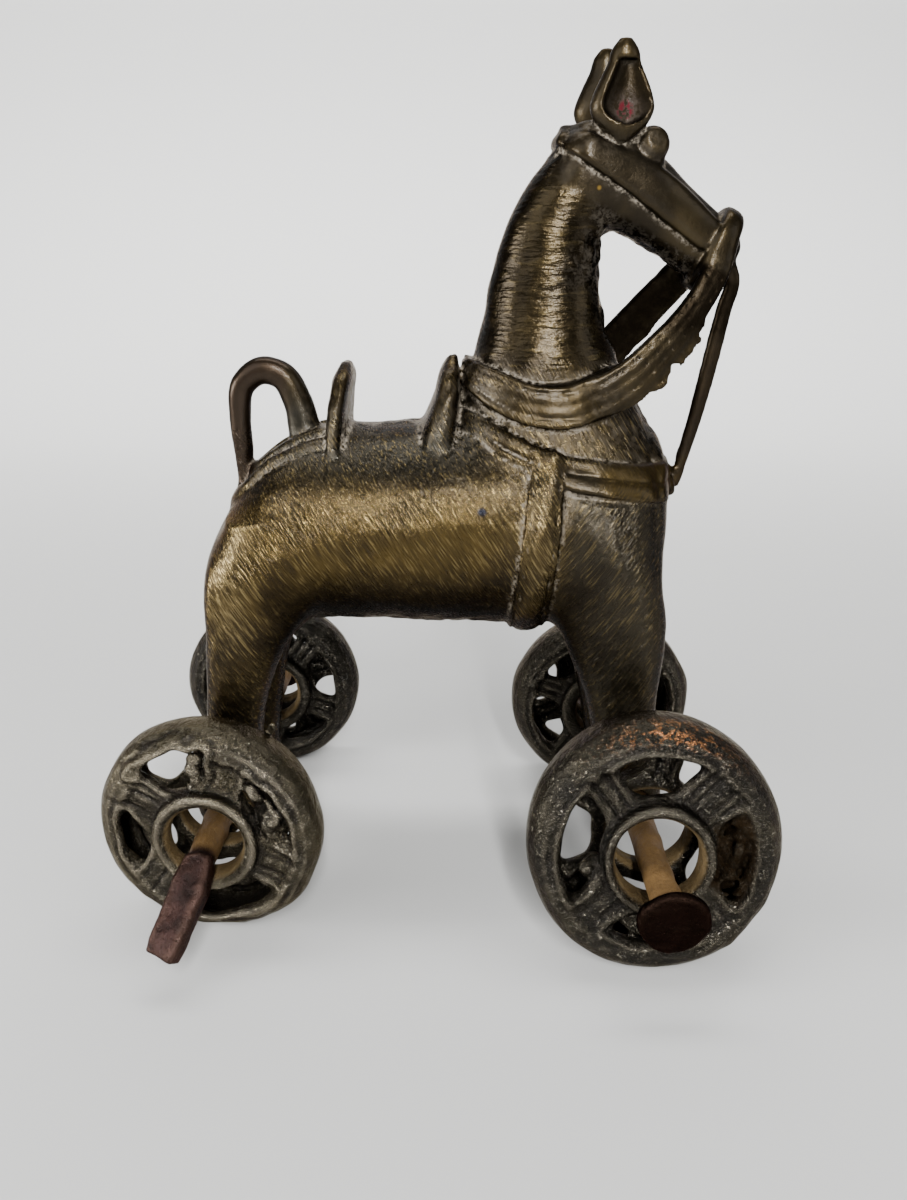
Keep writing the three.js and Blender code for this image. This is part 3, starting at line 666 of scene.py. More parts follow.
def wheel_shell(radius_at, depth, radius):
    """A wheel's wall in its half section: the distance across the axis and from the middle."""
    middle = [
        (HUB_RADIUS - 1, 4.3),
        (radius - RIM_WIDTH, 4.4),
        (radius - 4.6, 5.2),
        (radius - 3.3, 4.9),
        (radius - 2.1, 3.7),
        (radius - 1.3, 2),
        (radius - 1.1, 0),
    ]
    best = FAR
    for (r0, d0), (r1, d1) in zip(middle, middle[1:]):
        span_r, span_d = r1 - r0, d1 - d0
        share = ((radius_at - r0) * span_r + (depth - d0) * span_d) / (span_r**2 + span_d**2)
        share = np.clip(share, 0, 1)
        away = np.hypot(radius_at - r0 - share * span_r, depth - d0 - share * span_d)
        best = np.minimum(best, away)
    return best - WALL / 2


def wheel_collar(radius_at, depth, hole):
    """A thick ring round the hole that stands out from the face, with a bevelled mouth."""
    half = (HUB_RADIUS - hole) / 2
    out, half_out = depth - COLLAR_MIDDLE, COLLAR_HALF_WIDTH - COLLAR_MIDDLE
    ring = slab(radius_at - hole - half, out, half, half_out, 1.2)
    bevel = 0.75 * (hole + 1.3 - radius_at) + 0.66 * (depth - COLLAR_HALF_WIDTH + 0.1)
    return soft_max(ring, bevel, 0.7)


def wheel_openings(radius_at, angle, spokes):
    """The field of the openings between the spokes of one side, negative in an opening."""
    best = FAR
    for row, (turn, width, open_to) in enumerate(spokes):
        following, next_width, _ = spokes[(row + 1) % len(spokes)]
        start, end = math.radians(turn), math.radians(following + (360 if following < turn else 0))
        from_this = width / 2 - radius_at * np.sin(angle - start)
        from_next = next_width / 2 - radius_at * np.sin(end - angle)
        behind = np.cos(angle - (start + end) / 2) < 0
        sides = np.where(behind, FAR, np.maximum(from_this, from_next))
        ring = np.maximum(HUB_RADIUS + 0.6 - radius_at, radius_at - open_to)
        best = np.minimum(best, soft_max(ring, sides, OPENING_CORNER))
    return best


def spoke_grooves(radius_at, angle, spokes, radius):
    """Grooves along the spokes, about a third of the width apart."""
    depth = 0
    for turn, width, _ in spokes:
        sideways = radius_at * np.sin(angle - math.radians(turn))
        ahead = np.cos(angle - math.radians(turn)) > 0
        pair = bell(np.abs(sideways), width / 6, 0.42)
        depth = depth + np.where(ahead, pair, 0)
    depth = 0.42 * depth * fade(radius_at, HUB_RADIUS, HUB_RADIUS + 2)
    return depth * fade(radius_at, radius - 4, radius - RIM_WIDTH)


def wheel_grid(name, wheel, seed):
    """One wheel about its own centre."""
    radius, hole = wheel["radius"], wheel["hole"]
    reach = radius + 1.5
    half_y = 10 + reach * max(abs(part) for part in wheel["lean"])
    grid = Grid((-reach, -half_y, -reach), (reach, half_y, reach), WHEEL_STEP)
    _, x, y, z = grid.points()
    y = y - wheel["lean"][0] * x - wheel["lean"][1] * z
    radius_at, angle, depth = np.hypot(x, z), np.arctan2(z, x), np.abs(y)
    shell = wheel_shell(radius_at, depth, radius)
    ragged = grid.lumps(2.2, seed)
    for side, spokes in ((-1, wheel["right"]), (1, wheel["left"])):
        openings = wheel_openings(radius_at, angle, spokes) + wheel.get("ragged", RAGGED) * ragged
        cord = 0.4 * bell(openings, 1.0, 0.4) * fade(radius_at, HUB_RADIUS + 2, HUB_RADIUS + 5)
        line = 0.25 * bell(openings, 2.1, 0.35)
        carved = shell - cord + line + spoke_grooves(radius_at, angle, spokes, radius)
        cut = soft_max(carved, -openings, 1)
        shell = np.where(side * y > 0, cut, shell)
    field = soft_min(shell, wheel_collar(radius_at, depth, hole), 1)
    field = soft_max(field, hole - radius_at, 0.5)
    broad, pits = grid.lumps(5, seed + 1), grid.lumps(1.5, seed + 2)
    face = fade(depth, 3.6, 5.2) * fade(radius_at, HUB_RADIUS - 0.6, HUB_RADIUS + 1)
    field = field + 0.15 * broad + (0.015 + 0.075 * face) * pits
    for lump in WHEEL_LUMPS.get(name, []):
        field = soft_min(field, wheel_lump(grid, (x, y, z), lump, hole, seed + 3), 0.6)
    grid.field = field.astype(np.float32)
    return grid


def wheel_lump(grid, at, lump, hole, seed):
    """A rough lump that keeps clear of the hole."""
    turn, away, at_y, half_round, half_out, half_y, rough = lump
    x, y, z = at
    cosine, sine = math.cos(math.radians(turn)), math.sin(math.radians(turn))
    outwards = x * cosine + z * sine - away
    sideways = z * cosine - x * sine
    squares = (sideways / half_round) ** 2 + (outwards / half_out) ** 2 + ((y - at_y) / half_y) ** 2
    field = (np.sqrt(squares) - 1) * min(half_round, half_out, half_y)
    field = field + rough * 0.5 * grid.lumps(1.2, seed)
    field = field + rough * 0.4 * grid.lumps(2.6, seed + 1)
    return np.maximum(field, hole + 1 - np.hypot(x, z))


# Nails

NAIL_END_ROWS = [
    (0, 0, 0, 5.8, 5.8), (2.4, 0.3, 1, 6.6, 4.8), (8.2, 2, 5, 7, 4), (12.8, 3.6, 8.8, 7, 3.6),
    (13.6, 4.1, 10, 6.8, 3.4),
]
NAIL_BEND_Y = 37
HALF_WIDTH = 56.2


def nail_grid(axle_x, nail_z, head_side, seed):
    """A nail with a hammered head and a flattened, bent end."""
    low_y, high_y = sorted((head_side * (HALF_WIDTH + 1.5), -head_side * (HALF_WIDTH + 1.5)))
    low, high = (axle_x - 10, low_y, nail_z - 15), (axle_x + 8, high_y, nail_z + 8)
    grid = Grid(low, high, NAIL_STEP)
    _, x, y, z = grid.points()
    away, angle = np.hypot(x - axle_x, z - nail_z), np.arctan2(z - nail_z, x - axle_x)
    shaft = away - NAIL_RADIUS * (1 - 0.03 * np.sin(y / 7))
    past_end = np.maximum(-head_side * y - NAIL_BEND_Y - 1, head_side * y - HALF_WIDTH + 0.6)
    grid.field = np.maximum(shaft, past_end).astype(np.float32)
    outline = NAIL_HEAD_RADIUS - 0.16 + 0.12 * np.sin(2 * angle + 1) + 0.1 * np.sin(3 * angle)
    disc = slab(away - outline + 3, y - head_side * (HALF_WIDTH - 1.15), 3, 1.05, 0.8)
    grid.field = soft_min(grid.field, disc, 1.2).astype(np.float32)
    rows = [(axle_x - back, -head_side * (NAIL_BEND_Y + out), nail_z - down, wide, thick)
            for out, back, down, wide, thick in NAIL_END_ROWS]
    line = Line(rows, over=(0, 0, 1))

    def end(x, y, z):
        across, over, past, at = line.local(x, y, z)
        wide, thick = line.sizes[:, at] / 2
        return np.maximum(slab(across, over, wide, thick, 1.2), np.abs(past) - 0.4)
    grid.add(end, low, high, 0.8)
    grid.field += 0.1 * grid.lumps(1.8, seed) + 0.06 * grid.lumps(5, seed + 1)
    return grid


# Meshes

def placed(name, data):
    """A new object in the scene."""
    thing = bpy.data.objects.new(name, data)
    bpy.context.scene.collection.objects.link(thing)
    return thing


def new_piece(name, points, quads):
    """An object with four-cornered faces."""
    mesh = bpy.data.meshes.new(name)
    mesh.vertices.add(len(points))
    mesh.vertices.foreach_set("co", points.astype(np.float32).ravel())
    mesh.loops.add(4 * len(quads))
    mesh.loops.foreach_set("vertex_index", quads.astype(np.int32).ravel())
    mesh.polygons.add(len(quads))
    mesh.polygons.foreach_set("loop_start", np.arange(0, 4 * len(quads), 4, dtype=np.int32))
    mesh.update(calc_edges=True)
    return placed(name, mesh)


def thin_out(piece, share):
    """Leaves about a share of a piece's triangles, and returns the points that are left."""
    piece.modifiers.new("thinner", "DECIMATE").ratio = share
    depsgraph = bpy.context.evaluated_depsgraph_get()
    thin = bpy.data.meshes.new_from_object(piece.evaluated_get(depsgraph))
    whole = piece.data
    piece.modifiers.clear()
    piece.data = thin
    bpy.data.meshes.remove(whole)
    thin.name = piece.name
    points = np.empty(3 * len(thin.vertices), np.float32)
    thin.vertices.foreach_get("co", points)
    return points.reshape(-1, 3).astype(float)


def mesh_from(name, grid, centre, most_triangles, masks):
    """A smooth mesh of the grid's surface, thinned to a number of triangles, with its masks."""
    points, quads = grid.surface()
    points = grid.settle(grid.settle(points))
    piece = new_piece(name, points, quads)
    triangles = 2 * len(quads)
    if triangles > most_triangles:
        points = grid.settle(thin_out(piece, most_triangles / triangles))
    mesh = piece.data
    for mask_name, values in masks(grid, points).items():
        attribute = mesh.attributes.new(mask_name, "FLOAT", "POINT")
        attribute.data.foreach_set("value", np.clip(values, 0, 1).astype(np.float32))
    metres = (points + np.array(centre)) * MM
    mesh.vertices.foreach_set("co", metres.astype(np.float32).ravel())
    mesh.polygons.foreach_set("use_smooth", np.ones(len(mesh.polygons), bool))
    mesh.update()
    return piece


# Masks: where a look shows on a piece, from 0 to 1 at each of its points

def bend(grid, points, reach=0.8):
    """How the surface bends: positive on ridges and negative in corners, in 1/mm."""
    ways = reach * np.eye(3)
    around = sum(grid.sample(points + way) + grid.sample(points - way) for way in ways)
    return (around - 6 * grid.sample(points)) / reach**2


def spots(points, places):
    """Soft round patches. A place is x, y, z and a radius."""
    total = 0
    for *middle, radius in places:
        away = np.linalg.norm(points - np.array(middle), axis=1)
        total = np.maximum(total, bell(away, 0, radius))
    return total


def rein_mask(points):
    """1 on the two free reins."""
    total = np.zeros(len(points))
    for rows in (RIGHT_REIN_ROWS, LEFT_REIN_ROWS):
        across, over, past, _ = Line(rows, 1).local(*points.T)
        total = np.maximum(total, fade(np.hypot(np.hypot(across, over), past), 5.2, 4.2))
    return total


# Patches of dust film on the left side, mirrored on the right: the feet of the saddle plates,
# the root of the tail, the poll, the foot of the neck and the shoulders
FILM_PLACES = [
    (-20, 10, 95, 6), (-14.5, 6, 97, 5), (-24, 0, 97, 7), (6, 11, 95, 6), (-4.5, 0, 97.5, 4),
    (-34, 8, 92, 5), (34, 14, 99, 7), (29, 6, 148.6, 5), (36, 5, 149, 3), (38, 0, 101, 7),
    (8, 9, 105, 6), (10, 12, 99, 6), (46, 0, 92, 5),
]
PAINT_PLACES = [(34, -6.8, 151.8, 2), (32.8, 6.8, 152.8, 2)]


class Skin:
    """The horse's surface: its points, how it faces and bends there, and its main regions."""

    def __init__(self, grid, points):
        self.x, self.y, self.z = x, y, z = points.T
        self.out = np.abs(y)
        slope = grid.slope(points)
        steepness = np.maximum(np.linalg.norm(slope, axis=1), SMALL)
        self.forwards, self.up = slope[:, 0] / steepness, slope[:, 2] / steepness
        self.ridge, self.broad_ridge = bend(grid, points, 0.9), bend(grid, points, 2.2)
        self.along, self.height = head_place(x, z)
        self.on_head = fade(self.along, -5, -2) * fade(z, 122, 130)
        jaw = fade(self.height, -3.6, -4.8) * fade(self.along, 3, 8) * fade(z, 120, 126)
        seam_x = through(SEAM_ROWS, z)[0]
        front = fade(x, seam_x - 3.4, seam_x - 1.6) * fade(z, 112, 118)
        self.throat = front * fade(self.height, -4, -6.5) + jaw
        self.on_rein = rein_mask(points)
        self.dressed = fade(z, 84, 89) * fade(np.abs(x - 3), 54, 46)
        self.strip = fade(x, 48, 50) * fade(z, 129, 126) * fade(np.abs(y + 1.2), 2.6, 2)
        cups = (ear_cup(side, base_x, x, y, z - lift) for side, base_x, lift in EARS)
        self.in_cup = sum(fade(cup, 0.35, 0.1) for cup in cups)


def dust_mask(s):
    """Dust in the corners between the straps, along the girth and at the throat."""
    corners = fade(-s.ridge, 0.35, 0.9) * (0.1 + 0.9 * s.dressed) * (1 - 0.7 * s.throat)
    girth_edge = bell(s.x, 20, 7) * fade(s.z, 58, 62) * (1 - s.dressed) * fade(-s.ridge, 0.3, 0.8)
    throat = s.throat * (1 - s.on_rein) * fade(s.x, 50, 48)
    dust = corners * (1 - 0.85 * s.on_rein) + 0.6 * girth_edge + 0.13 * throat
    return dust * (1 - 0.9 * s.in_cup)


def film_mask(s):
    """A thin film of dust: round patches, broad corners, the chest and round the eyes."""
    patches = spots(np.column_stack([s.x, s.out, s.z]), FILM_PLACES)
    patches = patches * (0.3 + 0.6 * fade(s.up, -0.2, 0.4))
    corners = fade(-s.broad_ridge, 0.06, 0.2) * s.dressed * (1 - s.on_rein)
    chest = bell(s.z, 96.5, 3) * within(s.x, 27, 33, 46, 50)
    from_eye = np.hypot(s.along - EYE_PLACE[0] + 0.6, s.height - EYE_PLACE[1] + 0.4)
    eyes = bell(from_eye, 0, 2) * fade(s.out, 4.4, 5.6)
    return np.maximum.reduce([patches, 0.6 * corners, 0.8 * chest, eyes]) * (1 - 0.9 * s.in_cup)


def gold_mask(s):
    """Where hands have rubbed the patina to gold, partly painted light on the rump and the collar."""
    x, z, out = s.x, s.z, s.out
    flank = bell(z, 76, 10) * within(x, -46, -36, 8, 19) * fade(out, 9, 15)
    # Partly painted highlight on the rump
    rump = bell(np.hypot(x + 37, z - 72), 0, 15) * fade(out, 5, 16)
    girth = bell(x, 21, 4.4) * fade(z, 97, 90) * fade(out, 8, 14)
    neck_band = bell(z, 101, 4.5) * within(x, 11, 20, 30, 42) * fade(out, 8, 11)
    plates = fade(z, 96, 101) * np.maximum(bell(x, -18, 3), bell(x, 3, 3)) * fade(out, 3, 9)
    # Painted light on the collar straps, which lifts them out of their shade
    collar = within(z, 84, 86, 90, 92) * fade(x, 30, 34)
    return flank + 0.9 * rump + 0.65 * girth + 0.3 * neck_band + 0.3 * plates + 0.9 * collar


def slate_mask(s):
    """Greyer metal: the saddle, the front legs and what faces up."""
    saddle = within(s.z, 86, 93, 99, 104) * within(s.x, -44, -36, 4, 14)
    front_legs = fade(s.x, 23, 28) * fade(s.z, 89, 84)
    return saddle + 0.6 * front_legs + 0.35 * s.up * fade(s.z, 80, 90)


def painted_highlight_mask(s):
    """Painted highlight on the edge of the haunch and on the girth."""
    haunch = bell(s.x, -40, 4.5) * within(s.z, 52, 66, 82, 92) * fade(s.out, 3, 8)
    return haunch + 0.6 * bell(s.x, 21, 3) * within(s.z, 60, 66, 88, 92)


def dark_mask(s):
    """Darker places: soot at the throat, painted shade, the reins, the far one most, and the strip."""
    x, z = s.x, s.z
    # Painted shade on the belly and the inner legs
    belly = within(z, 44, 54, 65, 75) * fade(np.abs(x + 1), 36, 27) * (1 - 0.7 * bell(x, 19.5, 4))
    inner_legs = fade(s.out, 12, 8) * fade(z, 60, 55)
    left_rein = fade(s.y, 6, 9) * fade(x, 33, 36) * within(z, 104, 107, 128, 132)
    # Painted shade on the back of the neck
    nape = fade(z, 104, 110) * fade(s.forwards, -0.12, -0.5) * (1 - s.on_head) * fade(x, 46, 42)
    dark = s.throat + 0.9 * belly + 0.6 * inner_legs + left_rein + 0.2 * s.on_rein + 0.5 * s.strip
    # Painted shade in the ear cups and on the nape
    return np.maximum.reduce([dark, 0.8 * s.in_cup, 0.35 * nape])


def red_mask(s):
    """The reddish cast of the tail and the strip."""
    loop = np.clip(fade(s.z, 97, 100) + fade(s.x, -35, -37) * fade(s.z, 80, 84), 0, 1)
    return 0.9 * fade(s.x, -27, -30) * loop * fade(s.out, 5, 3) + 0.35 * s.strip


def smooth_mask(s):
    """Metal without file marks: head, ears, reins, strip, tail and straps."""
    head = fade(s.height, -5.6, -4.4) * s.on_head
    tail = fade(s.z, 95, 97) * fade(s.x, -22, -25)
    straps = fade(s.x, 23, 26) * within(s.z, 84, 86, 91, 92.5) + bell(s.z, 103, 3.6) * fade(s.x, 34, 30)
    return np.maximum.reduce([head, fade(s.z, 146, 149), s.on_rein, tail, s.strip, 0.7 * straps])


def horse_masks(grid, points):
    """All masks of the horse by name."""
    s = Skin(grid, points)
    return {
        "dust": dust_mask(s),
        "film": film_mask(s),
        "gold": gold_mask(s),
        "worn": fade(s.ridge, 0.2, 0.9),
        "slate": slate_mask(s),
        "painted_highlight": painted_highlight_mask(s),
        "dark": dark_mask(s),
        "red": red_mask(s),
        "neck": fade(s.z, 106, 112),
        "shank": fade(s.x, 22, 26) * fade(s.z, 92, 86),
        "paint": spots(points, PAINT_PLACES) * s.in_cup,
        "smooth": smooth_mask(s),
    }


def wheel_masks(wheel):
    """The masks of one wheel, in its own place about its centre."""
    radius, hole = wheel["radius"], wheel["hole"]

    def masks(grid, points):
        x, y, z = points.T
        y = y - wheel["lean"][0] * x - wheel["lean"][1] * z
        radius_at, angle = np.hypot(x, z), np.degrees(np.arctan2(z, x))
        ridge = bend(grid, points)
        core = glint = np.zeros(len(points))
        if radius == LARGE_RADIUS:
            core = fade(np.abs((angle + 182) % 360 - 180), 34, 26) * fade(y, 1, 0)
            core = core * within(radius_at, 10.8, 11.6, 17.6, 18.6)
            glint = bell(radius_at, 22.6, 1.3) * bell(angle, 82, 24) * fade(y, 0, -2)
        return {
            # Painted shade in the creases of the wheel
            "dust": fade(-ridge, 0.1, 0.7),
            "worn": fade(ridge, 0.35, 1),
            "bore": fade(radius_at, hole + 1.1, hole + 0.5),
            "core": core,
            "glint": glint,
            # Painted shade inside the hollow between the walls
            "inside": fade(np.abs(y), 3.4, 2.4) * fade(radius_at, radius - 1.6, radius - 2.2),
            "tread": fade(radius_at, radius - 2.6, radius - 1),
        }
    return masks


def nail_masks(head_side):
    """The nail's head, and its shaft between the head and the bend."""
    behind_head = HALF_WIDTH - NAIL_HEAD_THICKNESS - 1

    def masks(grid, points):
        y = points[:, 1]
        end = np.where(y * head_side > 0, behind_head, NAIL_BEND_Y - 0.5)
        return {
            "head": fade(y * head_side, behind_head, HALF_WIDTH - 1.5),
            "ochre": fade(np.abs(y), end + 1, end - 3),
            "worn": fade(bend(grid, points), 0.3, 1),
        }
    return masks


# Materials

class Nodes:
    """Short calls for building a material's nodes. Lengths are in millimetres."""

    def __init__(self, name):
        self.material = bpy.data.materials.new(name)
        self.material.use_nodes = True
        self.tree = self.material.node_tree
        self.tree.nodes.clear()
        self.shader = self.node("BsdfPrincipled", {})
        self.node("OutputMaterial", {"Surface": self.shader.outputs[0]})
        self.place = self.node("TexCoord", {}).outputs["Object"]

    def put(self, socket, value):
        if isinstance(value, bpy.types.NodeSocket):
            self.tree.links.new(value, socket)
        elif socket.type == "RGBA":
            socket.default_value = (*value, 1)
        else:
            socket.default_value = value

    def node(self, kind, values, **settings):
        """A new node with its settings, and a link or a value for each of some inputs."""
        node = self.tree.nodes.new(f"ShaderNode{kind}")
        for name, value in settings.items():
            setattr(node, name, value)
        for key, value in values.items():
            self.put(node.inputs[key], value)
        return node

    def math(self, operation, a, b, clamp=False):
        return self.node("Math", {0: a, 1: b}, operation=operation, use_clamp=clamp).outputs[0]

    def times(self, a, b):
        return self.math("MULTIPLY", a, b)

    def most(self, a, b):
        return self.math("MAXIMUM", a, b)

    def rest(self, share):
        """What a share leaves of 1."""
        return self.math("SUBTRACT", 1, share, True)

    def mask(self, name, share=1):
        """A mask of the mesh, or a share of it."""
        value = self.node("Attribute", {}, attribute_name=name).outputs["Fac"]
        return value if share == 1 else self.times(value, share)

    def noise(self, size, detail=3, rough=0.55, stretch=(1, 1, 1), tilt=0):
        """Noise with grains of a given size, longer along x, y and z by the stretch."""
        values = {
            "Vector": self.place,
            "Rotation": (0, math.radians(tilt), 0),
            "Scale": [size * MM * part for part in stretch],
        }
        place = self.node("Mapping", values, vector_type="TEXTURE").outputs[0]
        values = {"Vector": place, "Scale": 1, "Detail": detail, "Roughness": rough}
        return self.node("TexNoise", values).outputs["Fac"]

    def ramp(self, value, low, high, to_low=0, to_high=1):
        values = {"Value": value, "From Min": low, "From Max": high, "To Min": to_low, "To Max": to_high}
        return self.node("MapRange", values, interpolation_type="SMOOTHSTEP").outputs[0]

    def mix(self, share, a, b):
        return self.node("Mix", {0: share, 6: a, 7: b}, data_type="RGBA").outputs[2]

    def mix_value(self, share, a, b):
        return self.node("Mix", {0: share, 2: a, 3: b}, data_type="FLOAT").outputs[0]

    def layered(self, colour, layers):
        """A colour under layers, from the lowest up: how much of each shows, and its colour."""
        for share, tone in layers:
            colour = self.mix(share, colour, tone)
        return colour

    def bump(self, height, depth, before=None):
        """A surface that follows a height, on top of another such surface."""
        values = {"Strength": 1, "Distance": depth * MM, "Height": height}
        if before is not None:
            values["Normal"] = before
        return self.node("Bump", values).outputs[0]

    def ball(self, centre, radius):
        """1 inside a ball, fading out at its edge."""
        values = {0: self.place, 1: [part * MM for part in centre]}
        away = self.node("VectorMath", values, operation="DISTANCE").outputs["Value"]
        return self.ramp(away, radius * MM, (radius - SPECK_EDGE) * MM)

    def finished(self, colour, metallic, roughness, normal, coat, coat_roughness, tint):
        """The material with the shader's inputs. The last two are plain values."""
        values = {
            "Base Color": colour,
            "Metallic": metallic,
            "Roughness": roughness,
            "Normal": normal,
            "Coat Normal": normal,
            "Coat Weight": coat,
            "Coat Roughness": coat_roughness,
            "Specular Tint": tint,
        }
        for name, value in values.items():
            self.put(self.shader.inputs[name], value)
        return self.material


# Colours, in linear light
PATINA = (0.014, 0.010, 0.005)
PATINA_LIGHT = (0.035, 0.025, 0.011)
PATINA_GRAIN = (0.028, 0.022, 0.013)
SLATE = (0.022, 0.020, 0.015)
GOLD = (0.064, 0.042, 0.012)
SCRATCH = (0.230, 0.170, 0.070)
# Painted highlight
PAINTED_HIGHLIGHT = (0.250, 0.190, 0.090)
SMOOTH_METAL = (0.050, 0.045, 0.036)
REDDISH = (0.028, 0.019, 0.013)
# Soot, and painted shade on the belly, inner legs, ear cups and nape
SOOT_AND_PAINTED_SHADE = (0.007, 0.005, 0.003)
FILM = (0.066, 0.056, 0.043)
DUST = (0.215, 0.188, 0.150)
PALE_PAINT = (0.050, 0.040, 0.035)
RED_PAINT = (0.070, 0.006, 0.012)
# Of a wheel's patina: dull, light, grainy, worn and on the tread
WHEEL_PATINA = [
    (0.017, 0.014, 0.009),
    (0.042, 0.035, 0.021),
    (0.060, 0.053, 0.038),
    (0.260, 0.225, 0.165),
    (0.055, 0.046, 0.026),
]
# Painted glints, bright specks on the wheels' faces
PAINTED_GLINT = (0.250, 0.225, 0.175)
COPPER = (0.330, 0.140, 0.050)
# Painted shade inside the wheels' hollow
PAINTED_HOLLOW_SHADE = (0.012, 0.010, 0.008)
# Painted shade in the wheels' creases
PAINTED_CREASE_SHADE = (0.010, 0.008, 0.006)
CLAY_CORE = (0.016, 0.010, 0.005)
BORE_OCHRE = (0.090, 0.061, 0.027)
IRON = (0.010, 0.005, 0.004)
IRON_LIGHT = (0.026, 0.012, 0.010)
IRON_GRAIN = (0.045, 0.023, 0.016)
IRON_WORN = (0.090, 0.050, 0.036)
SHAFT_OCHRE = (0.140, 0.082, 0.031)
NAIL_HEAD = (0.005, 0.003, 0.002)
FLOOR_GREY = (0.54, 0.54, 0.53)

SPECK_EDGE = 0.5
# A yellow fleck on the neck, a blue tarnish spot and two red dots on the flank: the place, the
# radius and the colour
SPECKS = [
    ((30, -7.2, 139.5), 0.7, (0.4, 0.24, 0.04)),
    ((9.6, -20.2, 83.6), 1.4, (0.006, 0.007, 0.011)),
    ((12.2, -19.4, 88.6), 0.45, (0.25, 0.02, 0.02)),
    ((14.8, -20.2, 81.6), 0.55, (0.25, 0.02, 0.02)),
]


def strokes(m):
    """Fine file marks: slanting on the flank, level on the neck, the other way on the shank."""
    flank = m.noise(0.27, 2, 0.5, (1, 3, 17), -32)
    neck = m.noise(0.85, 2, 0.5, (5, 4, 1))
    shank = m.noise(0.27, 2, 0.5, (1, 3, 17), 36)
    return m.mix_value(m.mask("shank"), m.mix_value(m.mask("neck"), flank, neck), shank)


def paint_layers(m):
    """Pale and red flakes in the ear cups, and specks."""
    paint = m.mask("paint")
    pale = m.times(paint, m.ramp(m.noise(0.9, 4, 0.6), 0.4, 0.56))
    red = m.times(m.ramp(paint, 0.45, 0.75), m.ramp(m.noise(0.9), 0.46, 0.56))
    specks = [(m.ball(centre, radius), tone) for centre, radius, tone in SPECKS]
    return [(pale, PALE_PAINT), (red, RED_PAINT), *specks]


def horse_metal():
    """Dark glossy patina, file marks, rubbed golden flanks, slate back, dust, paint, painted light and
    shade.
    """
    m = Nodes("cast_metal_look")
    cloud, grain, fine = m.noise(12, 4), m.noise(1.7, 5, 0.65), m.noise(0.5)
    marks, filed = strokes(m), m.rest(m.mask("smooth"))
    broken = m.math("ADD", m.times(cloud, 0.5), m.times(marks, 0.6))
    # Rubbed gold and worn ridges, with painted light on the rump and the collar
    rub_and_highlight = m.most(m.mask("gold", m.ramp(broken, 0.42, 0.66, 0.2, 1)), m.mask("worn", 0.16))
    fewer = m.most(m.mask("neck", 0.8), m.mask("shank", 0.45))
    scratches = m.times(m.ramp(marks, 0.54, 0.7, 0, 0.5), m.times(filed, m.rest(fewer)))
    dark = m.mask("dark", m.ramp(grain, 0.3, 0.6, 0.75, 1))
    film = m.mask("film", m.ramp(grain, 0.42, 0.66, 0.05, 0.55))
    dust = m.mask("dust", m.times(m.ramp(grain, 0.4, 0.56), m.ramp(fine, 0.36, 0.54)))
    colour = m.layered(m.mix(m.ramp(cloud, 0.38, 0.66), PATINA, PATINA_LIGHT), [
        (m.ramp(grain, 0.5, 0.72, 0, 0.4), PATINA_GRAIN),
        (m.mask("slate", m.ramp(cloud, 0.3, 0.55, 0.55, 1)), SLATE),
        (rub_and_highlight, GOLD),
        (scratches, SCRATCH),
        # Painted highlight in bright file marks on the haunch and the girth
        (m.mask("painted_highlight", m.ramp(marks, 0.46, 0.62, 0.05, 0.6)), PAINTED_HIGHLIGHT),
        (m.mask("smooth", 0.1), SMOOTH_METAL),
        (m.mask("red"), REDDISH),
        # Soot at the throat, and painted shade on the belly, inner legs, ear cups and nape
        (dark, SOOT_AND_PAINTED_SHADE),
        (film, FILM),
        (dust, DUST),
        *paint_layers(m),
    ])
    matt = m.most(m.most(dust, film), m.mask("paint", 0.7))
    clean = m.rest(matt)
    gloss = m.mix_value(rub_and_highlight, m.ramp(grain, 0.3, 0.7, 0.2, 0.32), 0.24)
    gloss = m.mix_value(m.mask("smooth", 0.6), gloss, 0.42)
    roughness = m.mix_value(matt, gloss, 0.85)
    cut = m.times(m.times(marks, filed), m.mix_value(m.mask("neck"), 1, 1.3))
    normal = m.bump(fine, 0.025, m.bump(cut, 0.2, m.bump(grain, 0.09)))
    coat = m.times(m.times(clean, m.rest(dark)), 0.12)
    return m.finished(colour, m.times(clean, 0.92), roughness, normal, coat, 0.12, (0.32, 0.25, 0.16))


